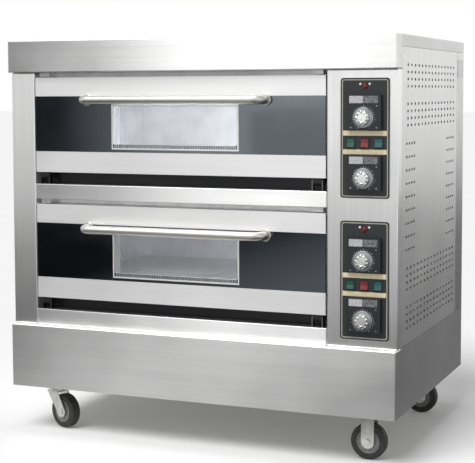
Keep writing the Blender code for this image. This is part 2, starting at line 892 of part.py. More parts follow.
def build_door_frame(deck):
    """The hollow steel door, with a recess for its black glass and a window tunnel."""
    z = DECKS[deck]
    frame = block(
        deck + "_door_frame",
        (X_DOOR_LEFT, Y_FACE, z),
        (X_DOOR_RIGHT, Y_DOOR_BACK, z + DOOR_HEIGHT),
        polished_steel("door_steel"),
    )
    band_back = Y_FACE + GLASS_THICKNESS + GAP
    band = (
        (X_DOOR_LEFT - FOLD, Y_FACE - FOLD, z + BOTTOM_STRIP),
        (X_DOOR_RIGHT + FOLD, band_back, z + DOOR_HEIGHT - TOP_STRIP),
    )
    cut(frame, "glass_band", [band])
    cavity = (
        (X_DOOR_LEFT + DOOR_SKIN, band_back + DOOR_SKIN, z + DOOR_SKIN),
        (X_DOOR_RIGHT - DOOR_SKIN, Y_DOOR_BACK - DOOR_SKIN, z + DOOR_HEIGHT - DOOR_SKIN),
    )
    cut(frame, "cavity", [cavity])
    join(frame, "collar", [window_box(z, COLLAR, Y_FACE - COLLAR_PROUD, Y_DOOR_BACK - DOOR_SKIN / 2)])
    cut(frame, "window", [window_box(z, 0.0, Y_FACE - FOLD * 2, Y_DOOR_BACK + FOLD)])
    vent_front = band_back + DOOR_VENT_SETBACK
    vents = [
        (
            (x - DOOR_VENT_LENGTH / 2, vent_front, z - FOLD),
            (x + DOOR_VENT_LENGTH / 2, vent_front + DOOR_VENT_WIDTH, z + DOOR_SKIN * 2),
        )
        for x in (X_DOOR - DOOR_VENT_OFFSET, X_DOOR + DOOR_VENT_OFFSET)
    ]
    cut(frame, "vent_slots", vents)
    pin_height = z - HINGE_DROP
    y = Y_FACE + HINGE_BACK
    half = LUG_WIDTH / 2
    lugs = [
        ((x - half, y - LUG_RADIUS, pin_height), (x + half, y + LUG_RADIUS, z + DOOR_SKIN / 2))
        for x in HINGE_XS
    ]
    join(frame, "lugs", lugs)
    rounds = [
        ((x - half, y, pin_height), (x + half, y, pin_height), LUG_RADIUS, 24) for x in HINGE_XS
    ]
    join(frame, "lug_ends", (), rounds)
    pins = [pin_rod(x, pin_height, PIN_RADIUS, PIN_REACH, PIN_SEGMENTS) for x in HINGE_XS]
    join(frame, "pins", (), pins)
    return frame


def build_door_glass(deck):
    z = DECKS[deck]
    glass = block(
        deck + "_door_glass",
        (X_DOOR_LEFT + GAP, Y_FACE - GAP, z + BOTTOM_STRIP + GAP),
        (X_DOOR_RIGHT - GAP, Y_FACE + GLASS_THICKNESS - GAP, z + DOOR_HEIGHT - TOP_STRIP - GAP),
        finish("black_glass", (0.012, 0.013, 0.016), 0.06),
    )
    cut(glass, "window", [window_box(z, COLLAR + GAP, Y_FACE - FOLD, Y_FACE + FOLD * 3)])
    return glass


def build_window_pane(deck):
    back = Y_DOOR_BACK - DOOR_SKIN
    low, high = window_box(DECKS[deck], -GAP, back - PANE_THICKNESS, back)
    return block(
        deck + "_window_pane", low, high, finish("clear_glass", (0.80, 0.85, 0.86), 0.03, 0.0, 0.3)
    )


def handle_path(deck):
    """Out of the door, round a bend, along the door and back again."""
    z = DECKS[deck] + HANDLE_RISE
    y_bar = Y_FACE - HANDLE_STANDOFF
    y_end = Y_FACE - GAP * 2
    left = X_DOOR - HANDLE_SPAN / 2
    right = X_DOOR + HANDLE_SPAN / 2
    bend = HANDLE_BEND
    points = [(left, y_end)]
    points += arc((left + bend, y_bar + bend), bend, 180, 270, 6)
    points += arc((right - bend, y_bar + bend), bend, 270, 360, 6)
    points.append((right, y_end))
    return [(x, y, z) for x, y in points]


def build_handle(deck):
    mesh = tube(deck + "_handle", handle_path(deck), HANDLE_DIAMETER, 4)
    handle = adopt(
        deck + "_handle", mesh, finish("handle_steel", (0.80, 0.77, 0.70), 0.22, 1.0)
    )
    z = DECKS[deck] + HANDLE_RISE
    foot = Y_FACE - GAP * 2
    ferrules = [
        ((x, foot - FERRULE_LENGTH, z), (x, foot, z), FERRULE_DIAMETER / 2, 24)
        for x in (X_DOOR - HANDLE_SPAN / 2, X_DOOR + HANDLE_SPAN / 2)
    ]
    join(handle, "ferrules", (), ferrules)
    return smooth(handle)


def build_door(deck):
    parts = [
        build_door_frame(deck),
        build_door_glass(deck),
        build_window_pane(deck),
        build_handle(deck),
    ]
    axis = (X_DOOR, Y_FACE + HINGE_BACK, DECKS[deck] - HINGE_DROP)
    pivot(deck + "_door_hinge_axis", axis, parts)


# ---------------------------------------------------------------- controls


def build_control_plate(deck):
    """The plate with rounded corners, its controller cut-outs and the rockers' bezels."""
    middle = plate_middle(deck)
    name = deck + "_control_plate"
    back = Y_FACE - GAP
    front = back - PLATE_THICKNESS
    mesh = rounded_slab(
        name,
        (X_PLATE - PLATE_WIDTH / 2, front, middle - PLATE_HEIGHT / 2),
        (X_PLATE + PLATE_WIDTH / 2, back, middle + PLATE_HEIGHT / 2),
        1,
        PLATE_CORNER,
    )
    plate = adopt(name, mesh, finish("panel_black", (0.03, 0.035, 0.035), 0.4))
    bezels = []
    for offset in (-1, 0, 1):
        low, high = rocker_hole(offset, middle, BEZEL_BORDER)
        bezels.append(((low[0], front - BEZEL_PROUD, low[2]), (high[0], back - GAP, high[2])))
    join(plate, "bezels", bezels)
    holes = [controller_hole(middle + rise) for rise in CONTROLLER_HEIGHTS.values()]
    holes += [rocker_hole(offset, middle) for offset in (-1, 0, 1)]
    cut(plate, "cutouts", holes)


def build_controller(deck, which):
    """A square temperature controller: a bezel on the plate, a body behind and a spindle."""
    z = plate_middle(deck) + CONTROLLER_HEIGHTS[which]
    name = f"{deck}_{which}_controller"
    half = CONTROLLER_SIZE / 2
    back = Y_FACE - GAP * 2 - PLATE_THICKNESS
    front = back - CONTROLLER_PROUD
    low = (X_PLATE - half, front, z - half)
    high = (X_PLATE + half, back, z + half)
    mesh = rounded_slab(name, low, high, 1, CONTROLLER_CORNER, 3)
    controller = adopt(name, mesh, finish("controller_black", (0.02, 0.02, 0.022), 0.35))
    body = CONTROLLER_BODY / 2
    rear = (
        (X_PLATE - body, back - CONTROLLER_PROUD / 2, z - body),
        (X_PLATE + body, Y_FACE + CONTROLLER_DEPTH, z + body),
    )
    join(controller, "body", [rear])
    knob_z = z - KNOB_DROP
    spindle = (
        (X_PLATE, front + FOLD, knob_z),
        (X_PLATE, front - SPINDLE_LENGTH, knob_z),
        SPINDLE_DIAMETER / 2,
        16,
    )
    join(controller, "spindle", (), [spindle])
    return front, knob_z


def build_knob(deck, which, front, height):
    """A dial knob: a thin skirt, a round grip and a blind bore for the spindle."""
    skirt = KNOB_SKIRT_DIAMETER / 2
    grip = KNOB_DIAMETER / 2
    bore = SPINDLE_DIAMETER / 2 + GAP
    depth = SPINDLE_LENGTH + GAP
    edge = KNOB_EDGE
    recess = KNOB_RECESS_DIAMETER / 2
    corner = [
        (grip - KNOB_CORNER * (1 - math.cos(angle)), KNOB_HEIGHT - KNOB_CORNER * (1 - math.sin(angle)))
        for angle in (math.pi / 2, math.pi / 4, 0.0)
    ]
    profile = [
        (0.0, KNOB_HEIGHT - edge),
        (recess, KNOB_HEIGHT - edge),
        (recess + edge, KNOB_HEIGHT),
        *corner,
        (grip, KNOB_SKIRT_ROOT),
        (skirt - edge, KNOB_SKIRT_RIM),
        (skirt, edge),
        (skirt, GAP * 2),
        (bore, GAP * 2),
        (bore, depth),
        (0.0, depth),
    ]
    name = f"{deck}_{which}_knob"
    knob = turned(name, profile, False, finish("knob_metal", (0.78, 0.78, 0.76), 0.3, 0.9), 24)
    knob.location = (X_PLATE, front, height)
    knob.rotation_euler = (math.pi / 2, 0, 0)


def rocker_outline():
    """The rocker's side view about its pivot: round ends, a dished front and a flat back."""
    radius = ROCKER_LENGTH / 2
    front = ROCKER_PROUD + ROCKER_PIVOT_DEPTH
    back = ROCKER_DEPTH - front
    rise = math.degrees(math.asin(front / radius))
    fall = math.degrees(math.asin(back / radius))
    outline = arc((0, 0), radius, -fall, rise, 6)
    outline.append((0.0, front - ROCKER_DISH))
    outline += arc((0, 0), radius, 180 - rise, 180 + fall, 6)
    return outline


def build_rocker(deck, index, colour_name, colour):
    """One rocker switch button, tilted to its off position."""
    name = f"{deck}_rocker_{index + 1}"
    mesh = prism(name, rocker_outline(), ROCKER_WIDTH)
    rocker = bpy.data.objects.new(name, mesh)
    PARTS.objects.link(rocker)
    mesh.materials.append(finish(colour_name, colour, 0.25))
    pivot_depth = Y_FACE - GAP - PLATE_THICKNESS + ROCKER_PIVOT_DEPTH - BEZEL_PROUD / 2
    place = (X_PLATE + (index - 1) * ROCKER_PITCH, pivot_depth, plate_middle(deck) + ROCKER_HEIGHT)
    rocker.matrix_world = rocker_matrix(place)


def rocker_matrix(place):
    """Turns the outline's X to up, its Z to the front and its thickness to across."""
    turn = Matrix(((0, -1, 0), (0, 0, -1), (1, 0, 0))).to_4x4()
    return Matrix.Translation(place) @ Matrix.Rotation(-ROCKER_TILT, 4, "X") @ turn


def build_controls(deck):
    build_control_plate(deck)
    for which in CONTROLLER_HEIGHTS:
        front, height = build_controller(deck, which)
        build_knob(deck, which, front, height)
    colours = (
        ("rocker_green", (0.05, 0.35, 0.12)),
        ("rocker_red", (0.50, 0.03, 0.03)),
        ("rocker_teal", (0.03, 0.33, 0.22)),
    )
    for index, (name, colour) in enumerate(colours):
        build_rocker(deck, index, name, colour)


# ---------------------------------------------------------------- casters

AXLE_HEIGHT = WHEEL_DIAMETER / 2
CROWN_BOTTOM = WHEEL_DIAMETER + FORK_CROWN_GAP
CASTER_TOP = SKIRT_CLEARANCE + PAN_RISE - GAP
LEG_OFFSET = WHEEL_WIDTH / 2 + FORK_SIDE_GAP + FORK_SHEET / 2


def wheel_profile():
    """A closed section: crowned tread, round shoulders, dished sides and a bore."""
    outer = WHEEL_DIAMETER / 2
    half = WHEEL_WIDTH / 2
    bore = AXLE_DIAMETER / 2 + AXLE_CLEARANCE
    shoulder = WHEEL_SHOULDER
    hub = bore + HUB_WALL
    face = half - WHEEL_DISH
    tread = arc((outer - shoulder, half - shoulder), shoulder, 90, 0, 2)
    tread += arc((outer - shoulder, -half + shoulder), shoulder, 0, -90, 2)
    upper = [(bore, half), (hub, half), (hub + HUB_SLOPE, face), (outer - TREAD_THICKNESS, face)]
    lower = [(radius, -height) for radius, height in reversed(upper)]
    return upper + tread + lower


def build_wheel(name, place, angle):
    wheel = turned(name, wheel_profile(), True, finish("wheel_rubber", (0.015, 0.015, 0.016), 0.6))
    wheel.location = place
    wheel.rotation_euler = (math.pi / 2, 0, angle)
    return wheel


def leg_outline(trail, top_half, top):
    """A fork leg's side view: from its crown down to a round end about the axle."""
    radius = FORK_LEG_WIDTH / 2
    outline = [(-top_half, top), (top_half, top)]
    outline += arc((trail, AXLE_HEIGHT), radius, 10 if trail else 0, -170 if trail else -180, 12)
    return outline


def fork_parts(fork, trail, top_half):
    """Joins two legs, the axle and its bolt heads to a fork, in the fork's own frame."""
    top = CROWN_BOTTOM + FORK_SHEET / 2
    for side in (-1, 1):
        leg = tool_from(prism(f"{fork.name}_leg_{side}", leg_outline(trail, top_half, top), FORK_SHEET))
        leg.location = (0, side * LEG_OFFSET, 0)
        leg.parent = fork
        combine(fork, leg, "UNION")
    outer = LEG_OFFSET + FORK_SHEET / 2
    head = outer + BOLT_HEAD_LENGTH
    place = (trail, 0, AXLE_HEIGHT)
    reach = head - AXLE_RECESS
    rods = [(offset(place, -reach), offset(place, reach), AXLE_DIAMETER / 2, 20)]
    axle = tool(fork.name + "_axle", (), rods)
    inner = outer - FORK_SHEET / 2
    heads = [
        (offset(place, side * inner), offset(place, side * head), BOLT_HEAD_DIAMETER / 2, 6)
        for side in (-1, 1)
    ]
    bolts = tool(fork.name + "_bolt_heads", (), heads)
    for shape in (axle, bolts):
        shape.parent = fork
        combine(fork, shape, "UNION")


def offset(place, distance):
    return place[0], place[1] + distance, place[2]


def local_part(name, mesh, material, location, angle=0.0):
    part = bpy.data.objects.new(name, mesh)
    PARTS.objects.link(part)
    mesh.materials.append(material)
    part.location = location
    part.rotation_euler = (0, 0, angle)
    return part


def plate_box():
    half_length = CASTER_PLATE_LENGTH / 2
    half_width = CASTER_PLATE_WIDTH / 2
    return (
        (-half_length, -half_width, CASTER_TOP - CASTER_PLATE_THICKNESS),
        (half_length, half_width, CASTER_TOP),
    )


def crown_box(reach):
    half = LEG_OFFSET + FORK_SHEET / 2
    return (-reach, -half, CROWN_BOTTOM), (reach, half, CROWN_BOTTOM + FORK_SHEET)


def build_swivel_caster(end, x, y):
    """A plate with half a bearing, a trailing fork that swivels under it, and a wheel."""
    zinc = zinc_steel("zinc_plate")
    split = (CROWN_BOTTOM + FORK_SHEET + CASTER_TOP - CASTER_PLATE_THICKNESS) / 2
    radius = BEARING_DIAMETER / 2
    upper = ((0, 0, split + BEARING_GAP / 2), (0, 0, CASTER_TOP - CASTER_PLATE_THICKNESS / 2), radius, 32)
    plate = local_part(f"caster_plate_{end}_left", solid("plate", [plate_box()]), zinc, (x, y, 0))
    housing = tool(plate.name + "_bearing", (), [upper])
    housing.parent = plate
    combine(plate, housing, "UNION")
    angle = SWIVEL_ANGLES[end]
    fork = local_part(
        f"caster_fork_{end}_left", solid("crown", [crown_box(radius)]), zinc, (x, y, 0), angle
    )
    lower = ((0, 0, CROWN_BOTTOM + FORK_SHEET / 2), (0, 0, split - BEARING_GAP / 2), radius, 32)
    cup = tool(fork.name + "_bearing", (), [lower])
    cup.parent = fork
    combine(fork, cup, "UNION")
    fork_parts(fork, CASTER_TRAIL, radius)
    trail = Vector((math.cos(angle), math.sin(angle), 0)) * CASTER_TRAIL
    place = Vector((x, y, AXLE_HEIGHT)) + trail
    wheel = build_wheel(f"caster_wheel_{end}_left", place, angle)
    carry(fork, [wheel])


def build_rigid_caster(end, x, y):
    """A plate and fork in one piece, with straight legs, and a wheel."""
    zinc = zinc_steel("zinc_plate")
    name = f"caster_fork_{end}_right"
    fork = local_part(name, solid("plate", [plate_box()]), zinc, (x, y, 0))
    half = FORK_LEG_WIDTH / 2
    outer = LEG_OFFSET + FORK_SHEET / 2
    inner = LEG_OFFSET - FORK_SHEET / 2
    middle = CASTER_TOP - CASTER_PLATE_THICKNESS / 2
    walls = [
        ((-half, side_low, CROWN_BOTTOM), (half, side_high, middle))
        for side_low, side_high in ((-outer, -inner), (inner, outer))
    ]
    risers = tool(name + "_risers", walls)
    risers.parent = fork
    combine(fork, risers, "UNION")
    fork_parts(fork, 0.0, half)
    wheel = build_wheel(f"caster_wheel_{end}_right", (x, y, AXLE_HEIGHT), 0.0)
    carry(fork, [wheel])


def build_casters():
    places = {"front": Y_FRONT + CASTER_FRONT_INSET, "rear": Y_REAR - CASTER_REAR_INSET}
    for end, y in places.items():
        build_swivel_caster(end, -HALF + CASTER_SIDE_INSET, y)
        build_rigid_caster(end, HALF - CASTER_SIDE_INSET, y)


# ---------------------------------------------------------------- assembly

build_base()
build_front_frame()
build_rails()
build_cap_and_cover()
build_side_and_rear_panels()
build_gland_and_data_plate()
for deck_name in DECKS:
    build_chamber(deck_name)
    build_elements(deck_name)
    build_hearths(deck_name)
    build_door(deck_name)
    build_controls(deck_name)
build_casters()
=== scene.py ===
import json
import math

import bmesh
import bpy
from mathutils import Matrix, Vector

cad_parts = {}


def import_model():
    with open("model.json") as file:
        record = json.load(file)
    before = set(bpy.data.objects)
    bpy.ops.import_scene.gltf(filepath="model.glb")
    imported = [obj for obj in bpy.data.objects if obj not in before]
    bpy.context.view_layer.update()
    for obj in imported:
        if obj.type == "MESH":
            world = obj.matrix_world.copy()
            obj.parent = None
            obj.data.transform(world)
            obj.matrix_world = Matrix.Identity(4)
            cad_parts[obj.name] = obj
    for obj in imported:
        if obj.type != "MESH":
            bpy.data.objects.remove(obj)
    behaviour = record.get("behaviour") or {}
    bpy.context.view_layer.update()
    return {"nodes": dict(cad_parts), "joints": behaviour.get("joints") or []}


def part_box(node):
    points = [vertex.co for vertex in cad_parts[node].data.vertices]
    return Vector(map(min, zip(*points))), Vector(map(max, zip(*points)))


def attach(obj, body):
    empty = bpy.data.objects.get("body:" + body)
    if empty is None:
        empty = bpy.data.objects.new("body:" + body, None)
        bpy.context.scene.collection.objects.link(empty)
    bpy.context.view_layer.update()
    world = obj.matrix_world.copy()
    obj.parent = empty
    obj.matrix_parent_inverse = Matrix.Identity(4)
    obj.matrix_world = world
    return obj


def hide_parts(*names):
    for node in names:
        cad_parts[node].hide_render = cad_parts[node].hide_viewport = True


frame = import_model()

DECKS = ("lower", "upper")
HEATS = ("top_heat", "bottom_heat")
FRONT = Vector((0, -1, 0))

# Sizes, in metres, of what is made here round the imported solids.
TUBE_DIAMETER = 0.0245
HANDLE_BEND = 0.026
FERRULE_HEIGHT = 0.0045
FERRULE_EDGE = 0.0015
FERRULE_LAP = 0.0005

SHEET = 0.0015
SHEET_LIP = 0.018
SLOT_WIDTH = 0.0130
SLOT_HEIGHT = 0.0068
SLOT_COLUMNS = 15
SLOT_PITCH = 0.03865
SLOT_FIRST_FROM_FRONT = 0.0613
SLOT_BANDS = (0.0485, 0.1547, 0.6072, 0.7154)
SLOT_ROWS = 4
SLOT_ROW_PITCH = 0.0194
SIDE_GROUP_COLUMNS = 4
SIDE_GROUP_PITCH = 0.0272
SIDE_GROUP_ROWS = 9
SIDE_GROUP_ROW_PITCH = 0.0365
SIDE_GROUP_TOP = 0.2631
SIDE_GROUP_FRONT = 0.0505
SIDE_GROUP_REAR = 0.0441

SCREW_RADIUS = 0.0038
SCREW_HEIGHT = 0.0004
SIDE_SCREW_FRONT = 0.0219
SIDE_SCREW_REAR = 0.0244
SIDE_SCREW_TOP = 0.0113
SIDE_SCREW_BOTTOM = 0.0120
REAR_SCREW_SIDE = 0.020
REAR_SCREW_END = 0.016

WINDOW_CORNER = 0.006
PANE_GAP = 0.0002
TRIM_RISE = 0.009
TRIM_WIDTH = 0.0017
TRIM_LIFT = 0.0001
TRIM_HEIGHT = 0.0009
RIBS = 70
RIB_HEIGHT = 0.0100
RIB_MARGIN = 0.003
RIB_DROP = 0.0004
RIB_SHARE = 0.27
RIB_END = 0.0003

PLATE_CORNER = 0.008
PLATE_FACE_BAND = 0.012
CASE_FACE_BAND = 0.003
BORDER_INSET = 0.0038
BORDER_WIDTH = 0.0028
BORDER_EASE = 0.002
PRINT = 0.0003
STRIP_WIDTH = 0.1225
STRIP_HEIGHT = 0.0132
STRIP_CORNER = 0.0006
STRIP_RISES = (0.0136, -0.0368)
LAMP_RISE = 0.1410
LAMP_DIAMETER = 0.0150
LAMP_BEZEL = 0.0016
LAMP_EDGE = 0.0012
LAMP_DOME_DROP = 0.004
LAMP_DOME_RADIUS = 0.0087
DOT_DIAMETER = 0.0062
DOT_OFFSET = (0.0130, 0.0050)

LABEL_SIZE = (0.0810, 0.0195)
LABEL_DROP = 0.0040
LABEL_SPLIT = -0.02
LABEL_CORNER = 0.0008
LABEL_GAP = 0.0006
LABEL_EDGE = 0.0002
STUD_OFFSET = (0.036, 0.041)
STUD_PLACES = ((-1, -1), (1, -1), (1, 0.42))
STUD_PROFILE = ((0.0, 0.0), (0.0022, 0.0), (0.0020, 0.0006), (0.0, 0.0008))
TICKS = 25
TICK_START = -60
TICK_SWEEP = 300
TICK_EVERY = 4
TICK_LONG = 0.0040
TICK_SHORT = 0.0024
TICK_HALF_WIDTH = 0.0004
TICK_GAP = 0.0012

DIAL_BORE = 0.0045
SKIRT_EDGE = 0.0012
SKIRT_SHOULDER = 0.0028
SKIRT_TOP = 0.0046
SKIRT_INNER = 0.020
GRIP_RADIUS = 0.0205
FLUTES = 24
FLUTE_DEPTH = 0.0007
FLUTED_ABOVE = 0.9
FACET_SHARE = 0.84
DIAL_FACETS = 9
DIAL_FACET = 0.0018
POINTER_SIZE = (0.0016, 0.0056)
POINTER_CORNER = 0.0007
POINTER_HEIGHT = 0.0004
POINTER_SHARE = 0.70

TYRE_HALF_WIDTH = 0.016
TYRE_SHOULDER = 0.006
TYRE_DEPTH = 0.0173
HUB_BORE = 0.0065
HUB_BOSS = (0.013, 0.0145)
HUB_DISH = 0.0045
HUB_BOSS_DROP = 0.004
HUB_RIM = 0.005
HUB_RIM_EDGE = 0.001
HUB_PLAY = 0.0002

# Heights, in metres, of the brackets under the doors, whose bands are painted dark as shade in the recess
# there.
EAR_HEIGHT = 0.0295
RAIL_LEDGE = 0.0018
LUG_HEIGHT = 0.0215

# Lights and stage.
CHAMBER_LIGHT = {"lower": 1.5, "upper": 4.6}
CHAMBER_LAMP_SIZE = (0.70, 0.30)
CHAMBER_LAMP_DEPTH = -0.10
CHAMBER_LAMP_DROP = 0.055
SURROUND_LEVEL = 0.37
FLOOR_HALF_SIZE = 60.0
FLOOR_DROP = 0.0005
FLOOR_GLOW = 0.08

# The photograph's camera, solved: place in metres; azimuth, pitch and roll in degrees; lens in millimetres.
CAMERA_PLACE = (1.5231, -3.7401, 1.0236)
CAMERA_ANGLES = (22.987, -4.244, -0.2493)
CAMERA_LENS = 98.4945
CAMERA_SENSOR = 36.0
CAMERA_SHIFT = (0.0286, -0.09)


# ---------------------------------------------------------------- materials
def material(name):
    """An empty node material: the material, its tree and its Principled shader."""
    made = bpy.data.materials.new(name)
    made.use_nodes = True
    return made, made.node_tree, made.node_tree.nodes["Principled BSDF"]


def add(tree, kind, **values):
    node = tree.nodes.new(kind)
    for key, value in values.items():
        setattr(node, key, value)
    return node


def noise(tree, stretch, detail=4.0, roughness=0.6):
    """Noise in the part's own coordinates, with so many cells a metre along X, Y and Z."""
    place = add(tree, "ShaderNodeTexCoord")
    scale = add(tree, "ShaderNodeMapping")
    scale.inputs["Scale"].default_value = stretch
    field = add(tree, "ShaderNodeTexNoise")
    field.inputs["Scale"].default_value = 1.0
    field.inputs["Detail"].default_value = detail
    field.inputs["Roughness"].default_value = roughness
    tree.links.new(place.outputs["Object"], scale.inputs["Vector"])
    tree.links.new(scale.outputs["Vector"], field.inputs["Vector"])
    return field.outputs["Fac"]


def remap(tree, value, low, high, to_low, to_high):
    node = add(tree, "ShaderNodeMapRange")
    for socket, number in zip(node.inputs[1:5], (low, high, to_low, to_high)):
        socket.default_value = number
    tree.links.new(value, node.inputs[0])
    return node.outputs[0]


def ramp(tree, value, low, high, start, end):
    """A colour that runs from one to another as the value goes from low to high."""
    node = add(tree, "ShaderNodeValToRGB")
    node.color_ramp.elements[0].position = low
    node.color_ramp.elements[0].color = (*start, 1)
    node.color_ramp.elements[1].position = high
    node.color_ramp.elements[1].color = (*end, 1)
    tree.links.new(value, node.inputs[0])
    return node.outputs["Color"]


def bump(tree, shader, height, strength, distance):
    node = add(tree, "ShaderNodeBump")
    node.inputs["Strength"].default_value = strength
    node.inputs["Distance"].default_value = distance
    tree.links.new(height, node.inputs["Height"])
    tree.links.new(node.outputs["Normal"], shader.inputs["Normal"])


def brushed(name, colour, grain, roughness, spread=0.05, anisotropy=0.55, stain=0.04):
    """Brushed sheet steel: fine streaks along the grain and a faint cloudy wear over them."""
    made, tree, shader = material(name)
    streaks = noise(tree, tuple(3.0 if axis in grain else 380.0 for axis in "XYZ"), 3.0)
    broad = noise(tree, tuple(1.2 if axis in grain else 60.0 for axis in "XYZ"), 2.0)
    cloud = noise(tree, (3.5, 3.5, 3.5), 5.0)
    mixed = add(tree, "ShaderNodeMath", operation="ADD")
    half = add(tree, "ShaderNodeMath", operation="MULTIPLY")
    half.inputs[1].default_value = 0.5
    tree.links.new(streaks, mixed.inputs[0])
    tree.links.new(broad, mixed.inputs[1])
    tree.links.new(mixed.outputs[0], half.inputs[0])
    dark = tuple(c * (1 - spread) for c in colour)
    light = tuple(min(1.0, c * (1 + spread)) for c in colour)
    tree.links.new(ramp(tree, half.outputs[0], 0.35, 0.65, dark, light), shader.inputs["Base Color"])
    rough = remap(tree, cloud, 0.3, 0.7, roughness - stain, roughness + stain)
    tree.links.new(rough, shader.inputs["Roughness"])
    bump(tree, shader, half.outputs[0], 0.02, 0.0002)
    shader.inputs["Metallic"].default_value = 1.0
    shader.inputs["Anisotropic"].default_value = anisotropy
    across = add(tree, "ShaderNodeCombineXYZ")
    for axis, socket in zip("XYZ", across.inputs):
        socket.default_value = 0.0 if axis in grain else 1.0
    tree.links.new(across.outputs[0], shader.inputs["Tangent"])
    return made


def darken(name, axis, low, high, tone=0.05):
    """Paints shade into a finish: darkens it between two heights along an axis of the part, as in the shaded
    recess under a door.
    """
    made = LOOKS[name].copy()
    tree = made.node_tree
    shader = tree.nodes["Principled BSDF"]
    place = add(tree, "ShaderNodeTexCoord")
    split = add(tree, "ShaderNodeSeparateXYZ")
    tree.links.new(place.outputs["Object"], split.inputs[0])
    above = add(tree, "ShaderNodeMath", operation="GREATER_THAN")
    below = add(tree, "ShaderNodeMath", operation="LESS_THAN")
    both = add(tree, "ShaderNodeMath", operation="MULTIPLY")
    for node, limit in ((above, low), (below, high)):
        tree.links.new(split.outputs[axis], node.inputs[0])
        node.inputs[1].default_value = limit
    tree.links.new(above.outputs[0], both.inputs[0])
    tree.links.new(below.outputs[0], both.inputs[1])
    mixed = add(tree, "ShaderNodeMix", data_type="RGBA")
    tree.links.new(both.outputs[0], mixed.inputs["Factor"])
    tree.links.new(shader.inputs["Base Color"].links[0].from_socket, mixed.inputs[6])
    mixed.inputs[7].default_value = (tone, tone, tone * 1.05, 1)
    tree.links.new(mixed.outputs[2], shader.inputs["Base Color"])
    return made


def mottled(name, dark, light, roughness, metallic=0.0, scale=60.0, relief=0.1, coat=0.0):
    """A plain finish with the slight unevenness of a real one."""
    made, tree, shader = material(name)
    field = noise(tree, (scale, scale, scale), 6.0)
    tree.links.new(ramp(tree, field, 0.3, 0.7, dark, light), shader.inputs["Base Color"])
    rough = remap(tree, noise(tree, (scale / 6,) * 3, 3.0), 0.3, 0.7, roughness * 0.85, roughness * 1.15)
    tree.links.new(rough, shader.inputs["Roughness"])
    bump(tree, shader, field, relief, 0.0004)
    shader.inputs["Metallic"].default_value = metallic
    shader.inputs["Coat Weight"].default_value = coat
    return made


def glass(name, tint, ior=1.5):
    """Flat window glass with a trace of smear."""
    made, tree, shader = material(name)
    smear = noise(tree, (14.0, 14.0, 5.0), 4.0)
    tree.links.new(remap(tree, smear, 0.35, 0.75, 0.0, 0.06), shader.inputs["Roughness"])
    smeared = tuple(c * 0.96 for c in tint)
    tree.links.new(ramp(tree, smear, 0.2, 0.8, tint, smeared), shader.inputs["Base Color"])
    shader.inputs["Transmission Weight"].default_value = 1.0
    shader.inputs["IOR"].default_value = ior
    return made


def mirror_black(name):
    """Black-backed door glass: deep black with a clean, slightly blue reflection."""
    made, tree, shader = material(name)
    smear = noise(tree, (6.0, 6.0, 9.0), 5.0)
    tree.links.new(ramp(tree, smear, 0.3, 0.7, (0.0010, 0.0012, 0.0018), (0.0022, 0.0026, 0.0038)),
                   shader.inputs["Base Color"])
    tree.links.new(remap(tree, smear, 0.35, 0.75, 0.04, 0.12), shader.inputs["Roughness"])
    shader.inputs["IOR"].default_value = 2.3
    shader.inputs["Specular Tint"].default_value = (0.80, 0.90, 1.0, 1.0)
    return made


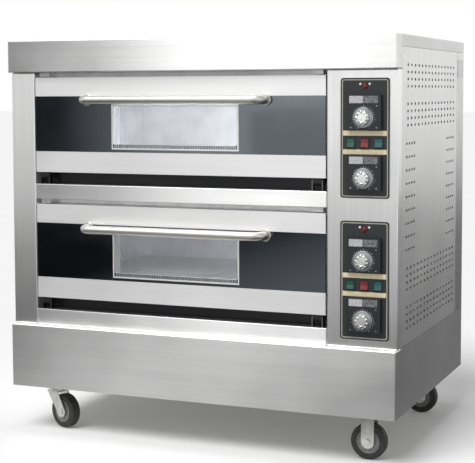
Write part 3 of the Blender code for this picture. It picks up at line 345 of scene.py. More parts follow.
STEEL = (0.95, 0.95, 0.945)
LOOKS = {
    "steel_across": brushed("steel_across", STEEL, "X", 0.30, anisotropy=0.88),
    "steel_upright": brushed("steel_upright", STEEL, "Z", 0.34, anisotropy=0.85),
    "steel_base": brushed("steel_base", (0.90, 0.90, 0.895), "X", 0.34, anisotropy=0.5),
    "steel_side": brushed("steel_side", (0.80, 0.80, 0.795), "Z", 0.38, anisotropy=0.6),
    "steel_top": brushed("steel_top", (0.84, 0.84, 0.835), "X", 0.36, anisotropy=0.7),
    "polished_steel": brushed("polished_steel", (0.86, 0.85, 0.83), "X", 0.20, 0.03, 0.2, 0.03),
    "handle_steel": brushed("handle_steel", (0.60, 0.59, 0.555), "X", 0.36, 0.03, 0.0, 0.03),
    "zinc_steel": mottled("zinc_steel", (0.50, 0.50, 0.49), (0.70, 0.70, 0.68), 0.36, 1.0, 45.0),
    "oven_steel": mottled("oven_steel", (0.61, 0.615, 0.63), (0.75, 0.755, 0.765), 0.42, 1.0, 25.0),
    "hearth_steel": mottled("hearth_steel", (0.51, 0.52, 0.54), (0.67, 0.68, 0.69), 0.45, 1.0, 40.0),
    "element_sheath": mottled("element_sheath", (0.12, 0.11, 0.10), (0.26, 0.24, 0.22), 0.55, 0.7, 80.0),
    "black_glass": mirror_black("black_glass"),
    "clear_glass": glass("clear_glass", (0.95, 0.96, 0.975)),
    "panel_black": mottled("panel_black", (0.012, 0.014, 0.015), (0.028, 0.032, 0.034), 0.42,
                           scale=300.0, relief=0.25),
    "black_plastic": mottled("black_plastic", (0.009, 0.010, 0.013), (0.020, 0.022, 0.027), 0.38,
                             scale=700.0, relief=0.3),
    "knob_metal": brushed("knob_metal", (0.88, 0.88, 0.87), "XZ", 0.26, 0.05, 0.3),
    "knob_ring": mottled("knob_ring", (0.30, 0.31, 0.33), (0.46, 0.47, 0.50), 0.30, 0.9, 500.0),
    "rocker_green": mottled("rocker_green", (0.001, 0.045, 0.028), (0.004, 0.100, 0.060), 0.24,
                            scale=120.0, relief=0.08, coat=0.4),
    "rocker_teal": mottled("rocker_teal", (0.001, 0.055, 0.055), (0.005, 0.120, 0.115), 0.24,
                           scale=120.0, relief=0.08, coat=0.4),
    "rocker_red": mottled("rocker_red", (0.12, 0.003, 0.007), (0.27, 0.010, 0.016), 0.24,
                          scale=120.0, relief=0.08, coat=0.4),
    "wheel_rubber": mottled("wheel_rubber", (0.010, 0.010, 0.011), (0.030, 0.029, 0.028), 0.62,
                            scale=90.0, relief=0.35),
    "wheel_hub": mottled("wheel_hub", (0.16, 0.16, 0.16), (0.27, 0.27, 0.26), 0.45, 0.0, 160.0, 0.2),
    "aluminium": mottled("aluminium", (0.52, 0.53, 0.54), (0.62, 0.63, 0.64), 0.34, 1.0, 200.0, 0.1),
    "lamp_red": mottled("lamp_red", (0.10, 0.004, 0.006), (0.20, 0.010, 0.012), 0.20, 0.0, 200.0, 0.05, 0.5),
    "print_cream": mottled("print_cream", (0.62, 0.53, 0.33), (0.74, 0.65, 0.45), 0.50, 0.0, 250.0, 0.05),
    "print_grey": mottled("print_grey", (0.30, 0.29, 0.24), (0.42, 0.41, 0.35), 0.45, 0.0, 250.0, 0.05),
    "scale_pale": mottled("scale_pale", (0.30, 0.30, 0.32), (0.58, 0.58, 0.60), 0.35, 0.0, 220.0, 0.05, 0.3),
    "scale_dark": mottled("scale_dark", (0.03, 0.03, 0.035), (0.24, 0.24, 0.25), 0.35, 0.0, 160.0, 0.05, 0.3),
    "rib_steel": mottled("rib_steel", (0.42, 0.43, 0.44), (0.74, 0.75, 0.76), 0.38, 0.9, 90.0, 0.1),
    "print_white": mottled("print_white", (0.66, 0.66, 0.68), (0.80, 0.80, 0.80), 0.45, 0.0, 250.0, 0.05),
    "screw_steel": mottled("screw_steel", (0.55, 0.55, 0.54), (0.72, 0.72, 0.70), 0.30, 1.0, 200.0, 0.1),
    "steel_doors": brushed("steel_doors", (0.985, 0.985, 0.98), "X", 0.46, anisotropy=0.3),
}

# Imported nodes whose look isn't that of their slot.
NODE_LOOKS = {
    "steel_across": ("lower_rail", "middle_rail", "cap_fascia", "rear_panel"),
    "steel_upright": ("left_pillar", "control_column"),
    "steel_side": ("side_panel_left", "side_panel_right"),
    "steel_top": ("top_cover",),
    "steel_base": ("base_front_panel", "base_shell"),
    "steel_doors": ("lower_door_frame", "upper_door_frame"),
}


def finish_nodes():
    """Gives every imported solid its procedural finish, by its slot or by its name."""
    by_name = {node: look for look, nodes in NODE_LOOKS.items() for node in nodes}
    for deck in DECKS:
        by_name[f"{deck}_rocker_3"] = "rocker_teal"
    for name, node in frame["nodes"].items():
        for index, old in enumerate(node.data.materials):
            look = by_name.get(name) or old.name.split(".")[0]
            node.data.materials[index] = LOOKS[look]
    # Painted shade: the rail's ears, the chamber's front and the door's lugs are darkened where the recess
    # under each door lies in shade.
    for deck, rail in zip(DECKS, ("lower_rail", "middle_rail")):
        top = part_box(rail)[1].z
        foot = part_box(f"{deck}_door_frame")[0].z
        ledge = top - EAR_HEIGHT - RAIL_LEDGE
        painted_shade = {
            rail: darken("steel_across", "Z", ledge, top + 1, 0.12),
            f"{deck}_chamber": darken("oven_steel", "Z", foot - 1, foot + LUG_HEIGHT),
            f"{deck}_door_frame": darken("steel_doors", "Z", foot - 1, foot + LUG_HEIGHT),
        }
        for name, look in painted_shade.items():
            frame["nodes"][name].data.materials[0] = look


# ---------------------------------------------------------------- building pieces
def piece(name, mesh, look, body, smooth=True):
    """Puts a mesh in the scene as a piece that moves with a body."""
    made = bpy.data.objects.new(name, mesh)
    bpy.context.scene.collection.objects.link(made)
    mesh.materials.append(LOOKS[look])
    if smooth:
        mesh.shade_smooth()
        mesh.set_sharp_from_angle(angle=math.radians(32))
    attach(made, body)
    return made


def mesh_from(name, form):
    """Turns a bmesh into a mesh with its faces pointing out."""
    bmesh.ops.remove_doubles(form, verts=form.verts, dist=1e-6)
    bmesh.ops.recalc_face_normals(form, faces=form.faces)
    mesh = bpy.data.meshes.new(name)
    form.to_mesh(mesh)
    form.free()
    return mesh


def outline(width, height, radius, steps=6):
    """A rounded rectangle about the origin, as (x, z) points going round once."""
    points = []
    for corner, (sx, sz) in enumerate(((1, 1), (-1, 1), (-1, -1), (1, -1))):
        for step in range(steps + 1):
            angle = math.pi / 2 * (corner + step / steps)
            points.append((sx * (width / 2 - radius) + radius * math.cos(angle),
                           sz * (height / 2 - radius) + radius * math.sin(angle)))
    return points


def front_slab(form, centre, width, height, radius, back, front, edge=0.0):
    """A rounded rectangular slab facing the front, from y = back to y = front, with a softened rim."""
    rings = [(back, 0.0), (front + edge, 0.0)]
    if edge:
        rings.append((front, edge))
    loops = []
    for y, inset in rings:
        points = outline(width - 2 * inset, height - 2 * inset, max(radius - inset, 0.0002))
        loops.append([form.verts.new((centre[0] + x, y, centre[1] + z)) for x, z in points])
    stitch(form, loops)
    form.faces.new(loops[0])
    form.faces.new(loops[-1])


def stitch(form, loops, closed=True):
    """Quads between neighbouring rings of the same length."""
    for one, two in zip(loops, loops[1:]):
        count = len(one)
        for i in range(count if closed else count - 1):
            j = (i + 1) % count
            form.faces.new((one[i], one[j], two[j], two[i]))


def front_ring(form, centre, outer, inner, radii, back, front):
    """A flat rectangular ring facing the front, with rounded corners and a slight crown."""
    middle = (front + (back - front) * 0.25)
    rings = []
    for size, radius, y in ((outer, radii[0], back), (outer, radii[0], middle), (None, None, front),
                            (inner, radii[1], middle), (inner, radii[1], back)):
        if size is None:
            size = ((outer[0] + inner[0]) / 2, (outer[1] + inner[1]) / 2)
            radius = (radii[0] + radii[1]) / 2
        points = outline(size[0], size[1], radius)
        rings.append([form.verts.new((centre[0] + x, y, centre[1] + z)) for x, z in points])
    stitch(form, rings + rings[:1])


def turned(form, profile, place, axis, steps=64):
    """A turned shape: (radius, distance) points spun about an axis through place."""
    turn = Vector((0, 0, 1)).rotation_difference(Vector(axis)).to_matrix().to_4x4()
    spot = Matrix.Translation(place) @ turn
    rings = []
    for radius, along in profile:
        if radius < 1e-7:
            rings.append([form.verts.new(spot @ Vector((0, 0, along)))])
            continue
        rings.append([
            form.verts.new(spot @ Vector((radius * math.cos(a), radius * math.sin(a), along)))
            for a in (2 * math.pi * i / steps for i in range(steps))
        ])
    for one, two in zip(rings, rings[1:]):
        if len(one) == 1 and len(two) == 1:
            continue
        for i in range(steps):
            j = (i + 1) % steps
            if len(one) == 1:
                form.faces.new((one[0], two[j], two[i]))
            elif len(two) == 1:
                form.faces.new((one[i], one[j], two[0]))
            else:
                form.faces.new((one[i], one[j], two[j], two[i]))


def arc(centre, radius, start, end, steps):
    """Points of a profile's round stretch, from one angle to another, in degrees."""
    return [
        (centre[0] + radius * math.cos(a), centre[1] + radius * math.sin(a))
        for a in (math.radians(start + (end - start) * i / steps) for i in range(steps + 1))
    ]


# ---------------------------------------------------------------- cabinet
def slot_columns(low, high):
    """(low y, high y) of each slot in the full rows, and of the two short groups."""
    half = SLOT_WIDTH / 2
    full = [low.y + SLOT_FIRST_FROM_FRONT + SLOT_PITCH * i for i in range(SLOT_COLUMNS)]
    front = [low.y + SIDE_GROUP_FRONT + SIDE_GROUP_PITCH * i for i in range(SIDE_GROUP_COLUMNS)]
    rear = [high.y - SIDE_GROUP_REAR - SIDE_GROUP_PITCH * i for i in range(SIDE_GROUP_COLUMNS)]
    return [(y - half, y + half) for y in full], [(y - half, y + half) for y in front + rear]


def slot_rows(high):
    """(low z, high z) of each slot in the full bands, and in the short groups."""
    half = SLOT_HEIGHT / 2
    full = [high.z - band - SLOT_ROW_PITCH * i for band in SLOT_BANDS for i in range(SLOT_ROWS)]
    short = [high.z - SIDE_GROUP_TOP - SIDE_GROUP_ROW_PITCH * i for i in range(SIDE_GROUP_ROWS)]
    return [(z - half, z + half) for z in full], [(z - half, z + half) for z in short]


def vented_side(side):
    """A side panel as folded sheet with its vent slots punched right through."""
    name = f"side_panel_{side}"
    low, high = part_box(name)
    outside = high.x if side == "right" else low.x
    inward = -1 if side == "right" else 1
    full_y, short_y = slot_columns(low, high)
    full_z, short_z = slot_rows(high)
    ys = sorted({low.y, high.y, *(y for pair in full_y + short_y for y in pair)})
    zs = sorted({low.z, high.z, *(z for pair in full_z + short_z for z in pair)})

    def is_slot(y, z):
        for columns, rows in ((full_y, full_z), (short_y, short_z)):
            if any(a < y < b for a, b in columns) and any(a < z < b for a, b in rows):
                return True
        return False

    form = bmesh.new()
    points = {(y, z): form.verts.new((outside, y, z)) for y in ys for z in zs}
    for y0, y1 in zip(ys, ys[1:]):
        for z0, z1 in zip(zs, zs[1:]):
            if not is_slot((y0 + y1) / 2, (z0 + z1) / 2):
                form.faces.new([points[p] for p in ((y0, z0), (y1, z0), (y1, z1), (y0, z1))])
    rim = [points[y, low.z] for y in ys] + [points[high.y, z] for z in zs[1:]]
    rim += [points[y, high.z] for y in reversed(ys[:-1])] + [points[low.y, z] for z in reversed(zs[1:-1])]
    inner = [form.verts.new(v.co + Vector((inward * SHEET_LIP, 0, 0))) for v in rim]
    stitch(form, [rim, inner])
    mesh = mesh_from(name + "_vented", form)
    made = piece(name + "_vented", mesh, "steel_side", "cabinet", smooth=False)
    wall = made.modifiers.new("sheet", "SOLIDIFY")
    wall.thickness = SHEET
    facing = sum(f.normal.x for f in mesh.polygons if abs(f.normal.x) > 0.9)
    wall.offset = -1.0 if facing * -inward > 0 else 1.0
    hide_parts(name)


def screw_head(form, place, axis):
    """A low flat screw head."""
    turned(form, [(SCREW_RADIUS, 0.0), (SCREW_RADIUS, SCREW_HEIGHT), (0.0, SCREW_HEIGHT)], place, axis, 20)


def panel_screws():
    """Screws that hold the side and rear panels, where such panels are fixed."""
    form = bmesh.new()
    low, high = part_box("side_panel_right")
    for axis, x in (((1, 0, 0), high.x), ((-1, 0, 0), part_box("side_panel_left")[0].x)):
        for y in (low.y + SIDE_SCREW_FRONT, high.y - SIDE_SCREW_REAR):
            for z in (high.z - SIDE_SCREW_TOP, low.z + SIDE_SCREW_BOTTOM):
                screw_head(form, (x, y, z), axis)
    low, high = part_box("rear_panel")
    for x in (low.x + REAR_SCREW_SIDE, (low.x + high.x) / 2, high.x - REAR_SCREW_SIDE):
        for z in (low.z + REAR_SCREW_END, (low.z + high.z) / 2, high.z - REAR_SCREW_END):
            screw_head(form, (x, high.y, z), (0, 1, 0))
    piece("panel_screws", mesh_from("panel_screws", form), "screw_steel", "cabinet")


# ---------------------------------------------------------------- doors
def handle(deck):
    """The bar handle: one bent tube between two turned ferrules."""
    low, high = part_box(f"{deck}_handle")
    ferrule = (high.z - low.z) / 2
    middle = (low.z + high.z) / 2
    reach = low.y + TUBE_DIAMETER / 2
    left, right = low.x + ferrule, high.x - ferrule
    route = [(left, high.y)]
    for centre_x, start, end in ((left + HANDLE_BEND, 180, 270), (right - HANDLE_BEND, 270, 360)):
        route += arc((centre_x, reach + HANDLE_BEND), HANDLE_BEND, start, end, 12)
    route.append((right, high.y))
    form = bmesh.new()
    rings = []
    steps = 32
    for i, (x, y) in enumerate(route):
        before, after = route[max(i - 1, 0)], route[min(i + 1, len(route) - 1)]
        along = Vector((after[0] - before[0], after[1] - before[1], 0)).normalized()
        side = Vector((-along.y, along.x, 0))
        rings.append([
            form.verts.new(Vector((x, y, middle)) + TUBE_DIAMETER / 2 * (
                side * math.cos(a) + Vector((0, 0, 1)) * math.sin(a)))
            for a in (2 * math.pi * k / steps for k in range(steps))
        ])
    stitch(form, rings)
    form.faces.new(rings[0])
    form.faces.new(rings[-1])
    for x in (left, right):
        bead = arc((ferrule - FERRULE_EDGE, FERRULE_HEIGHT - FERRULE_EDGE), FERRULE_EDGE, 0, 90, 4)
        profile = [(0.0, 0.0), (ferrule, 0.0)] + bead
        profile += [(TUBE_DIAMETER / 2 - FERRULE_LAP, FERRULE_HEIGHT), (0.0, FERRULE_HEIGHT)]
        turned(form, profile, (x, high.y, middle), FRONT, 48)
    made = piece(f"{deck}_handle_bar", mesh_from("bar", form), "handle_steel",
                 f"{deck}_door")
    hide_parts(f"{deck}_handle")


def door_glazing(deck):
    """The front glass as a black border round a clear window, with the window's trim and ribs on it."""
    low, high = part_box(f"{deck}_door_glass")
    pane_low, pane_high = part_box(f"{deck}_window_pane")
    sill = pane_low.z + TRIM_RISE
    centre = ((pane_low.x + pane_high.x) / 2, (sill + pane_high.z) / 2)
    clear = (pane_high.x - pane_low.x, pane_high.z - sill)
    body = f"{deck}_door"

    # The border's outer ring is the window's own ring pushed out until it meets the glass's edges.
    form = bmesh.new()
    hole = outline(clear[0], clear[1], WINDOW_CORNER)
    far = 9
    rings = []
    for y in (high.y, low.y):
        inner = [form.verts.new((centre[0] + x, y, centre[1] + z)) for x, z in hole]
        outer = [form.verts.new((min(max(centre[0] + x * far, low.x), high.x), y,
                                 min(max(centre[1] + z * far, low.z), high.z))) for x, z in hole]
        rings.append((inner, outer))
    (back_in, back_out), (front_in, front_out) = rings
    stitch(form, [back_in, back_out, front_out, front_in, back_in])
    bmesh.ops.dissolve_degenerate(form, edges=form.edges, dist=1e-6)
    border = piece(f"{deck}_door_glass_border", mesh_from("glass_border", form), "black_glass",
                   body, smooth=False)
    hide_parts(f"{deck}_door_glass")

    form = bmesh.new()
    front_slab(form, centre, clear[0] - 2 * PANE_GAP, clear[1] - 2 * PANE_GAP, WINDOW_CORNER - PANE_GAP,
               high.y, low.y)
    piece(f"{deck}_door_glass_window", mesh_from("glass_window", form), "clear_glass",
          body, smooth=False)

    form = bmesh.new()
    inside = (clear[0] - 2 * TRIM_WIDTH, clear[1] - 2 * TRIM_WIDTH)
    front_ring(form, centre, clear, inside, (WINDOW_CORNER, WINDOW_CORNER - TRIM_WIDTH),
               low.y - TRIM_LIFT, low.y - TRIM_HEIGHT)
    piece(f"{deck}_window_trim", mesh_from("trim", form), "polished_steel", body)

    # The ribs are turned, then flattened to half their depth on the glass.
    form = bmesh.new()
    face = low.y - TRIM_LIFT
    pitch = (clear[0] - 2 * RIB_MARGIN) / RIBS
    radius = pitch * RIB_SHARE
    foot = centre[1] - clear[1] / 2 - RIB_DROP - RIB_HEIGHT
    profile = [(0.0, 0.0), (radius, RIB_END), (radius, RIB_HEIGHT - RIB_END), (0.0, RIB_HEIGHT)]
    for i in range(RIBS):
        x = centre[0] - clear[0] / 2 + RIB_MARGIN + pitch * (i + 0.5)
        turned(form, profile, (x, face, foot), (0, 0, 1), 8)
    mesh = mesh_from("ribs", form)
    for v in mesh.vertices:
        v.co.y = face - max(0.0, (face - v.co.y) * 0.5)
    piece(f"{deck}_window_ribs", mesh, "rib_steel", body)


# ---------------------------------------------------------------- controls
def control_print(deck):
    """The plate's printed border, blank label strips, pilot lamp and its two dots."""
    low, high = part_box(f"{deck}_control_plate")
    centre = ((low.x + high.x) / 2, (low.z + high.z) / 2)
    width, height = high.x - low.x, high.z - low.z
    plate = frame["nodes"][f"{deck}_control_plate"].data
    face = min(v.co.y for v in plate.vertices if high.z - v.co.z < PLATE_FACE_BAND)

    form = bmesh.new()
    outer = (width - 2 * BORDER_INSET, height - 2 * BORDER_INSET)
    inner = (outer[0] - 2 * BORDER_WIDTH, outer[1] - 2 * BORDER_WIDTH)
    corner = PLATE_CORNER - BORDER_INSET + BORDER_EASE
    front_ring(form, centre, outer, inner, (corner, corner - BORDER_WIDTH * 0.7), face, face - PRINT)
    piece(f"{deck}_plate_border", mesh_from("border", form), "print_grey", "cabinet")

    form = bmesh.new()
    for rise in STRIP_RISES:
        front_slab(form, (centre[0], centre[1] + rise), STRIP_WIDTH, STRIP_HEIGHT, STRIP_CORNER,
                   face, face - PRINT)
    piece(f"{deck}_label_strips", mesh_from("strips", form), "print_cream", "cabinet")

    form = bmesh.new()
    radius = DOT_DIAMETER / 2
    for side in (-1, 1):
        spot = (centre[0] + side * DOT_OFFSET[0], face, centre[1] + LAMP_RISE + DOT_OFFSET[1])
        turned(form, [(0.0, 0.0), (radius, 0.0), (radius, PRINT), (0.0, PRINT)], spot, FRONT, 24)
    piece(f"{deck}_lamp_dots", mesh_from("dots", form), "print_white", "cabinet")

    form = bmesh.new()
    lens = LAMP_DIAMETER / 2
    dome = arc((0.0, -LAMP_DOME_DROP), LAMP_DOME_RADIUS, 62, 90, 6)
    spread = (lens - LAMP_EDGE) / dome[0][0]
    profile = [(0.0, 0.0), (lens, 0.0), (lens, LAMP_BEZEL)] + [(x * spread, z) for x, z in dome[:-1]]
    profile.append((0.0, dome[-1][1]))
    turned(form, profile, (centre[0], face, centre[1] + LAMP_RISE), FRONT, 40)
    piece(f"{deck}_pilot_lamp", mesh_from("lamp", form), "lamp_red", "cabinet")


def controller_face(deck, which):
    """A heat controller's printed face: a blank two-tone scale window, ticks round the dial, and studs."""
    name = f"{deck}_{which}"
    low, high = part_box(f"{name}_controller")
    knob_low, knob_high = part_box(f"{name}_knob")
    case = frame["nodes"][f"{name}_controller"].data
    face = min(v.co.y for v in case.vertices if high.z - v.co.z < CASE_FACE_BAND)
    middle = (low.x + high.x) / 2

    top = high.z - LABEL_DROP - LABEL_SIZE[1] / 2
    for suffix, start, end in (("pale", -0.5, LABEL_SPLIT), ("dark", LABEL_SPLIT, 0.5)):
        form = bmesh.new()
        width = LABEL_SIZE[0] * (end - start) - LABEL_GAP
        x = middle + LABEL_SIZE[0] * (start + end) / 2
        front_slab(form, (x, top), width, LABEL_SIZE[1], LABEL_CORNER, face, face - PRINT * 2, LABEL_EDGE)
        piece(f"{name}_window_{suffix}", mesh_from("scale_window", form), f"scale_{suffix}",
              "cabinet")

    form = bmesh.new()
    for dx, dz in STUD_PLACES:
        spot = (middle + dx * STUD_OFFSET[0], face, (low.z + high.z) / 2 + dz * STUD_OFFSET[1])
        turned(form, STUD_PROFILE, spot, FRONT, 16)
    piece(f"{name}_studs", mesh_from("studs", form), "knob_ring", "cabinet")

    form = bmesh.new()
    centre = Vector(((knob_low.x + knob_high.x) / 2, 0, (knob_low.z + knob_high.z) / 2))
    inner = (knob_high.x - knob_low.x) / 2 + TICK_GAP
    for i in range(TICKS):
        angle = math.radians(TICK_START + TICK_SWEEP * i / (TICKS - 1))
        length = TICK_SHORT if i % TICK_EVERY else TICK_LONG
        across = Vector((math.cos(angle), 0, math.sin(angle)))
        turn = across.cross(FRONT) * TICK_HALF_WIDTH
        start = centre + across * inner
        corners = []
        for y in (face, face - PRINT):
            for a, b in ((0, -1), (0, 1), (length, 1), (length, -1)):
                spot = start + across * a + turn * b
                corners.append(form.verts.new((spot.x, y, spot.z)))
        for quad in ((0, 1, 2, 3), (4, 5, 6, 7), (0, 1, 5, 4), (1, 2, 6, 5), (2, 3, 7, 6), (3, 0, 4, 7)):
            form.faces.new([corners[k] for k in quad])
    piece(f"{name}_ticks", mesh_from("ticks", form), "print_white", "cabinet",
          smooth=False)


def dial(deck, which):
    """A dial: a grey metal skirt with a pale fluted grip and a spun cap with a pointer line."""
    name = f"{deck}_{which}"
    low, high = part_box(f"{name}_knob")
    body = f"{name}_dial"
    place = ((low.x + high.x) / 2, high.y, (low.z + high.z) / 2)
    skirt = (high.x - low.x) / 2
    height = high.y - low.y

    form = bmesh.new()
    rim = arc((skirt - SKIRT_EDGE, SKIRT_SHOULDER), SKIRT_EDGE, 0, 90, 4)
    profile = [(DIAL_BORE, 0.0), (skirt, 0.0)] + rim
    profile += [(SKIRT_INNER, SKIRT_TOP), (DIAL_BORE, SKIRT_TOP), (DIAL_BORE, 0.0)]
    turned(form, profile, place, FRONT, 72)
    piece(f"{name}_dial_skirt", mesh_from("skirt", form), "knob_ring", body)

    # Each ring of the grip: its share of the grip's radius, and its height above the controller.
    grip_rings = ((1.0, SKIRT_TOP), (0.985, height * 0.5), (0.96, height - 0.0035),
                  (0.92, height - 0.0012), (FACET_SHARE, height), (0.60, height), (0.57, height - 0.0012))
    form = bmesh.new()
    steps = 144
    rings = []
    for share, y in grip_rings:
        row = []
        for i in range(steps):
            angle = 2 * math.pi * i / steps
            flute = FLUTE_DEPTH * max(0.0, math.cos(angle * FLUTES)) if share > FLUTED_ABOVE else 0.0
            radius = GRIP_RADIUS * share - flute
            dip = DIAL_FACET * (0.5 + 0.5 * math.cos(angle * DIAL_FACETS)) if share == FACET_SHARE else 0.0
            row.append(form.verts.new(Vector(place) + FRONT * (y - dip) + Vector(
                (radius * math.cos(angle), 0, radius * math.sin(angle)))))
        rings.append(row)
    stitch(form, rings)
    form.faces.new(rings[0])
    tip = form.verts.new(Vector(place) + FRONT * (height - 0.0010))
    last = rings[-1]
    for i in range(steps):
        form.faces.new((last[i], last[(i + 1) % steps], tip))
    made = piece(f"{name}_dial_grip", mesh_from("grip", form), "knob_metal", body)
    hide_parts(f"{name}_knob")

    form = bmesh.new()
    front_slab(form, (place[0], place[2] + GRIP_RADIUS * POINTER_SHARE), POINTER_SIZE[0], POINTER_SIZE[1],
               POINTER_CORNER, low.y + POINTER_HEIGHT, low.y)
    piece(f"{name}_dial_pointer", mesh_from("pointer", form), "black_plastic", body)


# ---------------------------------------------------------------- casters
def caster_wheel(corner):
    """A caster wheel: a round-shouldered tyre on a dished hub."""
    name = f"caster_wheel_{corner}"
    low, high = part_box(name)
    joint = next(j for j in frame["joints"] if j["name"] == f"{corner}_roll")
    axis = Vector(joint["axis"]).normalized()
    centre = (low + high) / 2
    radius = (high.z - low.z) / 2
    half = TYRE_HALF_WIDTH
    body = joint["child"]
    tyre = radius - TYRE_DEPTH

    form = bmesh.new()
    shoulder = (radius - TYRE_SHOULDER, half - TYRE_SHOULDER)
    profile = [(tyre, -half)]
    profile += arc((shoulder[0], -shoulder[1]), TYRE_SHOULDER, 270, 360, 8)
    profile += [(radius, 0.0)]
    profile += arc(shoulder, TYRE_SHOULDER, 0, 90, 8)
    profile += [(tyre, half), (tyre, -half)]
    turned(form, profile, centre, axis, 96)
    made = piece(f"{name}_tyre", mesh_from("tyre", form), "wheel_rubber", body)
    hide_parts(name)

    # One face of the hub from bore to rim, as (radius, distance from the wheel's middle).
    side = [(HUB_BORE, half), (HUB_BOSS[0], half), (HUB_BOSS[1], half - HUB_BOSS_DROP),
            (tyre - HUB_RIM, half - HUB_DISH), (tyre - HUB_RIM_EDGE, half - HUB_RIM_EDGE),
            (tyre - HUB_PLAY, half - HUB_RIM_EDGE)]
    form = bmesh.new()
    profile = [(r, -along) for r, along in side] + side[::-1] + [(HUB_BORE, -half)]
    turned(form, profile, centre, axis, 64)
    piece(f"{name}_hub", mesh_from("hub", form), "wheel_hub", body)


# ---------------------------------------------------------------- stage, light and camera
def sees_background(tree):
    """1 for camera, glossy and transmission rays, 0 for the rest."""
    path = add(tree, "ShaderNodeLightPath")
    first = add(tree, "ShaderNodeMath", operation="MAXIMUM")
    both = add(tree, "ShaderNodeMath", operation="MAXIMUM")
    tree.links.new(path.outputs["Is Camera Ray"], first.inputs[0])
    tree.links.new(path.outputs["Is Glossy Ray"], first.inputs[1])
    tree.links.new(first.outputs[0], both.inputs[0])
    tree.links.new(path.outputs["Is Transmission Ray"], both.inputs[1])
    return both.outputs[0]


def world(level):
    """A white surround at a plain level, seen as white behind the object."""
    made = bpy.data.worlds.new("surround")
    made.use_nodes = True
    tree = made.node_tree
    shown = remap(tree, sees_background(tree), 0.0, 1.0, level, 1.0)
    tree.links.new(shown, tree.nodes["Background"].inputs["Strength"])
    tree.nodes["Background"].inputs["Color"].default_value = (1, 1, 1, 1)
    bpy.context.scene.world = made


def floor():
    """A pale floor that keeps the object's shadow."""
    form = bmesh.new()
    bmesh.ops.create_grid(form, x_segments=2, y_segments=2, size=FLOOR_HALF_SIZE)
    mesh = mesh_from("floor", form)
    made, tree, shader = material("floor")
    field = noise(tree, (2.0, 2.0, 2.0), 3.0)
    tone = ramp(tree, field, 0.2, 0.8, (0.86, 0.86, 0.86), (0.88, 0.88, 0.88))
    tree.links.new(tone, shader.inputs["Base Color"])
    shader.inputs["Roughness"].default_value = 0.9
    shader.inputs["Specular IOR Level"].default_value = 0.0
    shader.inputs["Emission Color"].default_value = (1, 1, 1, 1)
    glow = remap(tree, sees_background(tree), 0.0, 1.0, 0.0, FLOOR_GLOW)
    tree.links.new(glow, shader.inputs["Emission Strength"])
    mesh.materials.append(made)
    ground = bpy.data.objects.new("floor", mesh)
    bpy.context.scene.collection.objects.link(ground)
    ground.location.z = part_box("caster_wheel_front_left")[0].z - FLOOR_DROP


def card(name, corners, axis, span, tones):
    """A grey card that only reflections see, from one tone to another along an axis of the world."""
    form = bmesh.new()
    form.faces.new([form.verts.new(c) for c in corners])
    mesh = bpy.data.meshes.new(name)
    form.to_mesh(mesh)
    form.free()
    made = bpy.data.materials.new(name)
    made.use_nodes = True
    tree = made.node_tree
    tree.nodes.remove(tree.nodes["Principled BSDF"])
    glow = add(tree, "ShaderNodeEmission")
    place = add(tree, "ShaderNodeTexCoord")
    split = add(tree, "ShaderNodeSeparateXYZ")
    tree.links.new(place.outputs["Object"], split.inputs[0])
    tone = remap(tree, split.outputs[axis], *span, *tones)
    tree.links.new(tone, glow.inputs["Color"])
    tree.links.new(glow.outputs[0], tree.nodes["Material Output"].inputs["Surface"])
    mesh.materials.append(made)
    sheet = bpy.data.objects.new(name, mesh)
    bpy.context.scene.collection.objects.link(sheet)
    sheet.visible_camera = False
    sheet.visible_diffuse = False
    sheet.visible_shadow = False
    sheet.visible_transmission = False


def chamber_lamp(deck):
    """A lamp under a chamber's ceiling that lights its floor and shows in the steel, not to the camera."""
    low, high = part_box(f"{deck}_chamber")
    light = bpy.data.lights.new(f"{deck}_chamber_light", "AREA")
    light.shape = "RECTANGLE"
    light.size, light.size_y = CHAMBER_LAMP_SIZE
    light.energy = CHAMBER_LIGHT[deck]
    lamp = bpy.data.objects.new(f"{deck}_chamber_light", light)
    bpy.context.scene.collection.objects.link(lamp)
    place = Vector(((low.x + high.x) / 2, CHAMBER_LAMP_DEPTH, high.z - CHAMBER_LAMP_DROP))
    lamp.location = place
    lamp.rotation_mode = "QUATERNION"
    lamp.rotation_quaternion = Vector((0, 0, -place.z)).to_track_quat("-Z", "Y")
    lamp.visible_camera = False


def sun(name, azimuth, elevation, softness, strength):
    """A broad soft light from one direction: azimuth 0 is straight in front, and negative is to the left."""
    light = bpy.data.lights.new(name, "SUN")
    light.angle = math.radians(softness)
    light.energy = strength
    lamp = bpy.data.objects.new(name, light)
    bpy.context.scene.collection.objects.link(lamp)
    a, e = math.radians(azimuth), math.radians(elevation)
    towards = Vector((math.sin(a) * math.cos(e), -math.cos(a) * math.cos(e), math.sin(e)))
    lamp.rotation_mode = "QUATERNION"
    lamp.rotation_quaternion = towards.to_track_quat("Z", "Y")


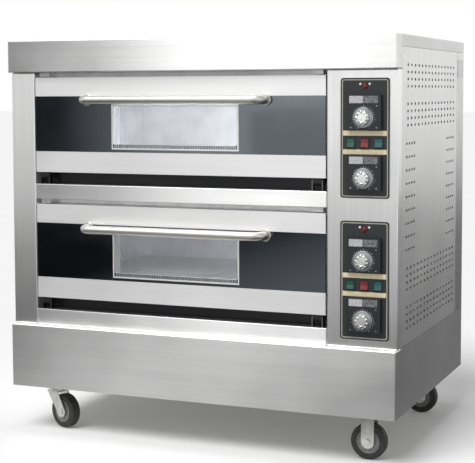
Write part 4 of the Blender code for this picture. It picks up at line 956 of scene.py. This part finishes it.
def camera():
    """The photograph's view, from the front right and a little above the upper deck."""
    data = bpy.data.cameras.new("camera")
    data.sensor_width = CAMERA_SENSOR
    data.lens = CAMERA_LENS
    data.shift_x, data.shift_y = CAMERA_SHIFT
    made = bpy.data.objects.new("camera", data)
    bpy.context.scene.collection.objects.link(made)
    azimuth, pitch, roll = (math.radians(a) for a in CAMERA_ANGLES)
    level = Vector((-math.sin(azimuth), math.cos(azimuth), 0))
    ahead = level * math.cos(pitch) + Vector((0, 0, math.sin(pitch)))
    right = Vector((math.cos(azimuth), math.sin(azimuth), 0))
    up = right.cross(ahead)
    turned_right = right * math.cos(roll) + up * math.sin(roll)
    turned_up = up * math.cos(roll) - right * math.sin(roll)
    spot = Matrix((turned_right, turned_up, -ahead)).transposed().to_4x4()
    spot.translation = CAMERA_PLACE
    made.matrix_world = spot
    bpy.context.scene.camera = made


def stage_cards():
    """The cards that shape the steel's reflections: bright in front, falling away to both sides and below."""
    card("left_card", [(-5.6, -5.8, -0.3), (-2.0, -5.8, -0.3), (-2.0, -5.8, 3.4), (-5.6, -5.8, 3.4)],
         "X", (-3.6, -2.4), (0.07, 1.35))
    card("softbox_card", [(-4.6, -6.6, 0.9), (3.5, -6.6, 0.9), (3.5, -6.6, 9), (-4.6, -6.6, 9)],
         "X", (-4.6, 3.5), (1.6, 1.6))
    card("shade_card", [(-1.8, -6.5, 1.25), (3.5, -6.5, 1.25), (3.5, -6.5, 9), (-1.8, -6.5, 9)],
         "X", (-1.8, -1.0), (1.6, 0.3))
    card("far_floor_card", [(-8, -9, 0.02), (3.0, -9, 0.02), (3.0, -2.7, 0.02), (-8, -2.7, 0.02)],
         "X", (-2.0, -0.7), (0.02, 0.55))
    card("near_left_card", [(-8, -2.7, 0.02), (-0.35, -2.7, 0.02), (-0.35, -0.5, 0.02), (-8, -0.5, 0.02)],
         "X", (-1.2, -0.4), (0.0, 0.5))
    card("near_right_card", [(-0.35, -2.7, 0.02), (3.0, -2.7, 0.02), (3.0, -0.5, 0.02), (-0.35, -0.5, 0.02)],
         "X", (-0.35, 0.25), (0.5, 0.04))
    card("low_right_card", [(0.66, -0.4, 0.02), (9, -0.4, 0.02), (9, 9, 0.02), (0.66, 9, 0.02)],
         "Y", (0.0, 6.0), (0.10, 0.20))


def main():
    finish_nodes()
    for side in ("left", "right"):
        vented_side(side)
    panel_screws()
    for deck in DECKS:
        handle(deck)
        door_glazing(deck)
        control_print(deck)
        for which in HEATS:
            controller_face(deck, which)
            dial(deck, which)
        chamber_lamp(deck)
    for end in ("front", "rear"):
        for side in ("left", "right"):
            caster_wheel(f"{end}_{side}")
    world(SURROUND_LEVEL)
    floor()
    stage_cards()
    sun("key", -18, 55, 34, 2.25)
    camera()
    bpy.context.scene.view_settings.view_transform = "Standard"


main()
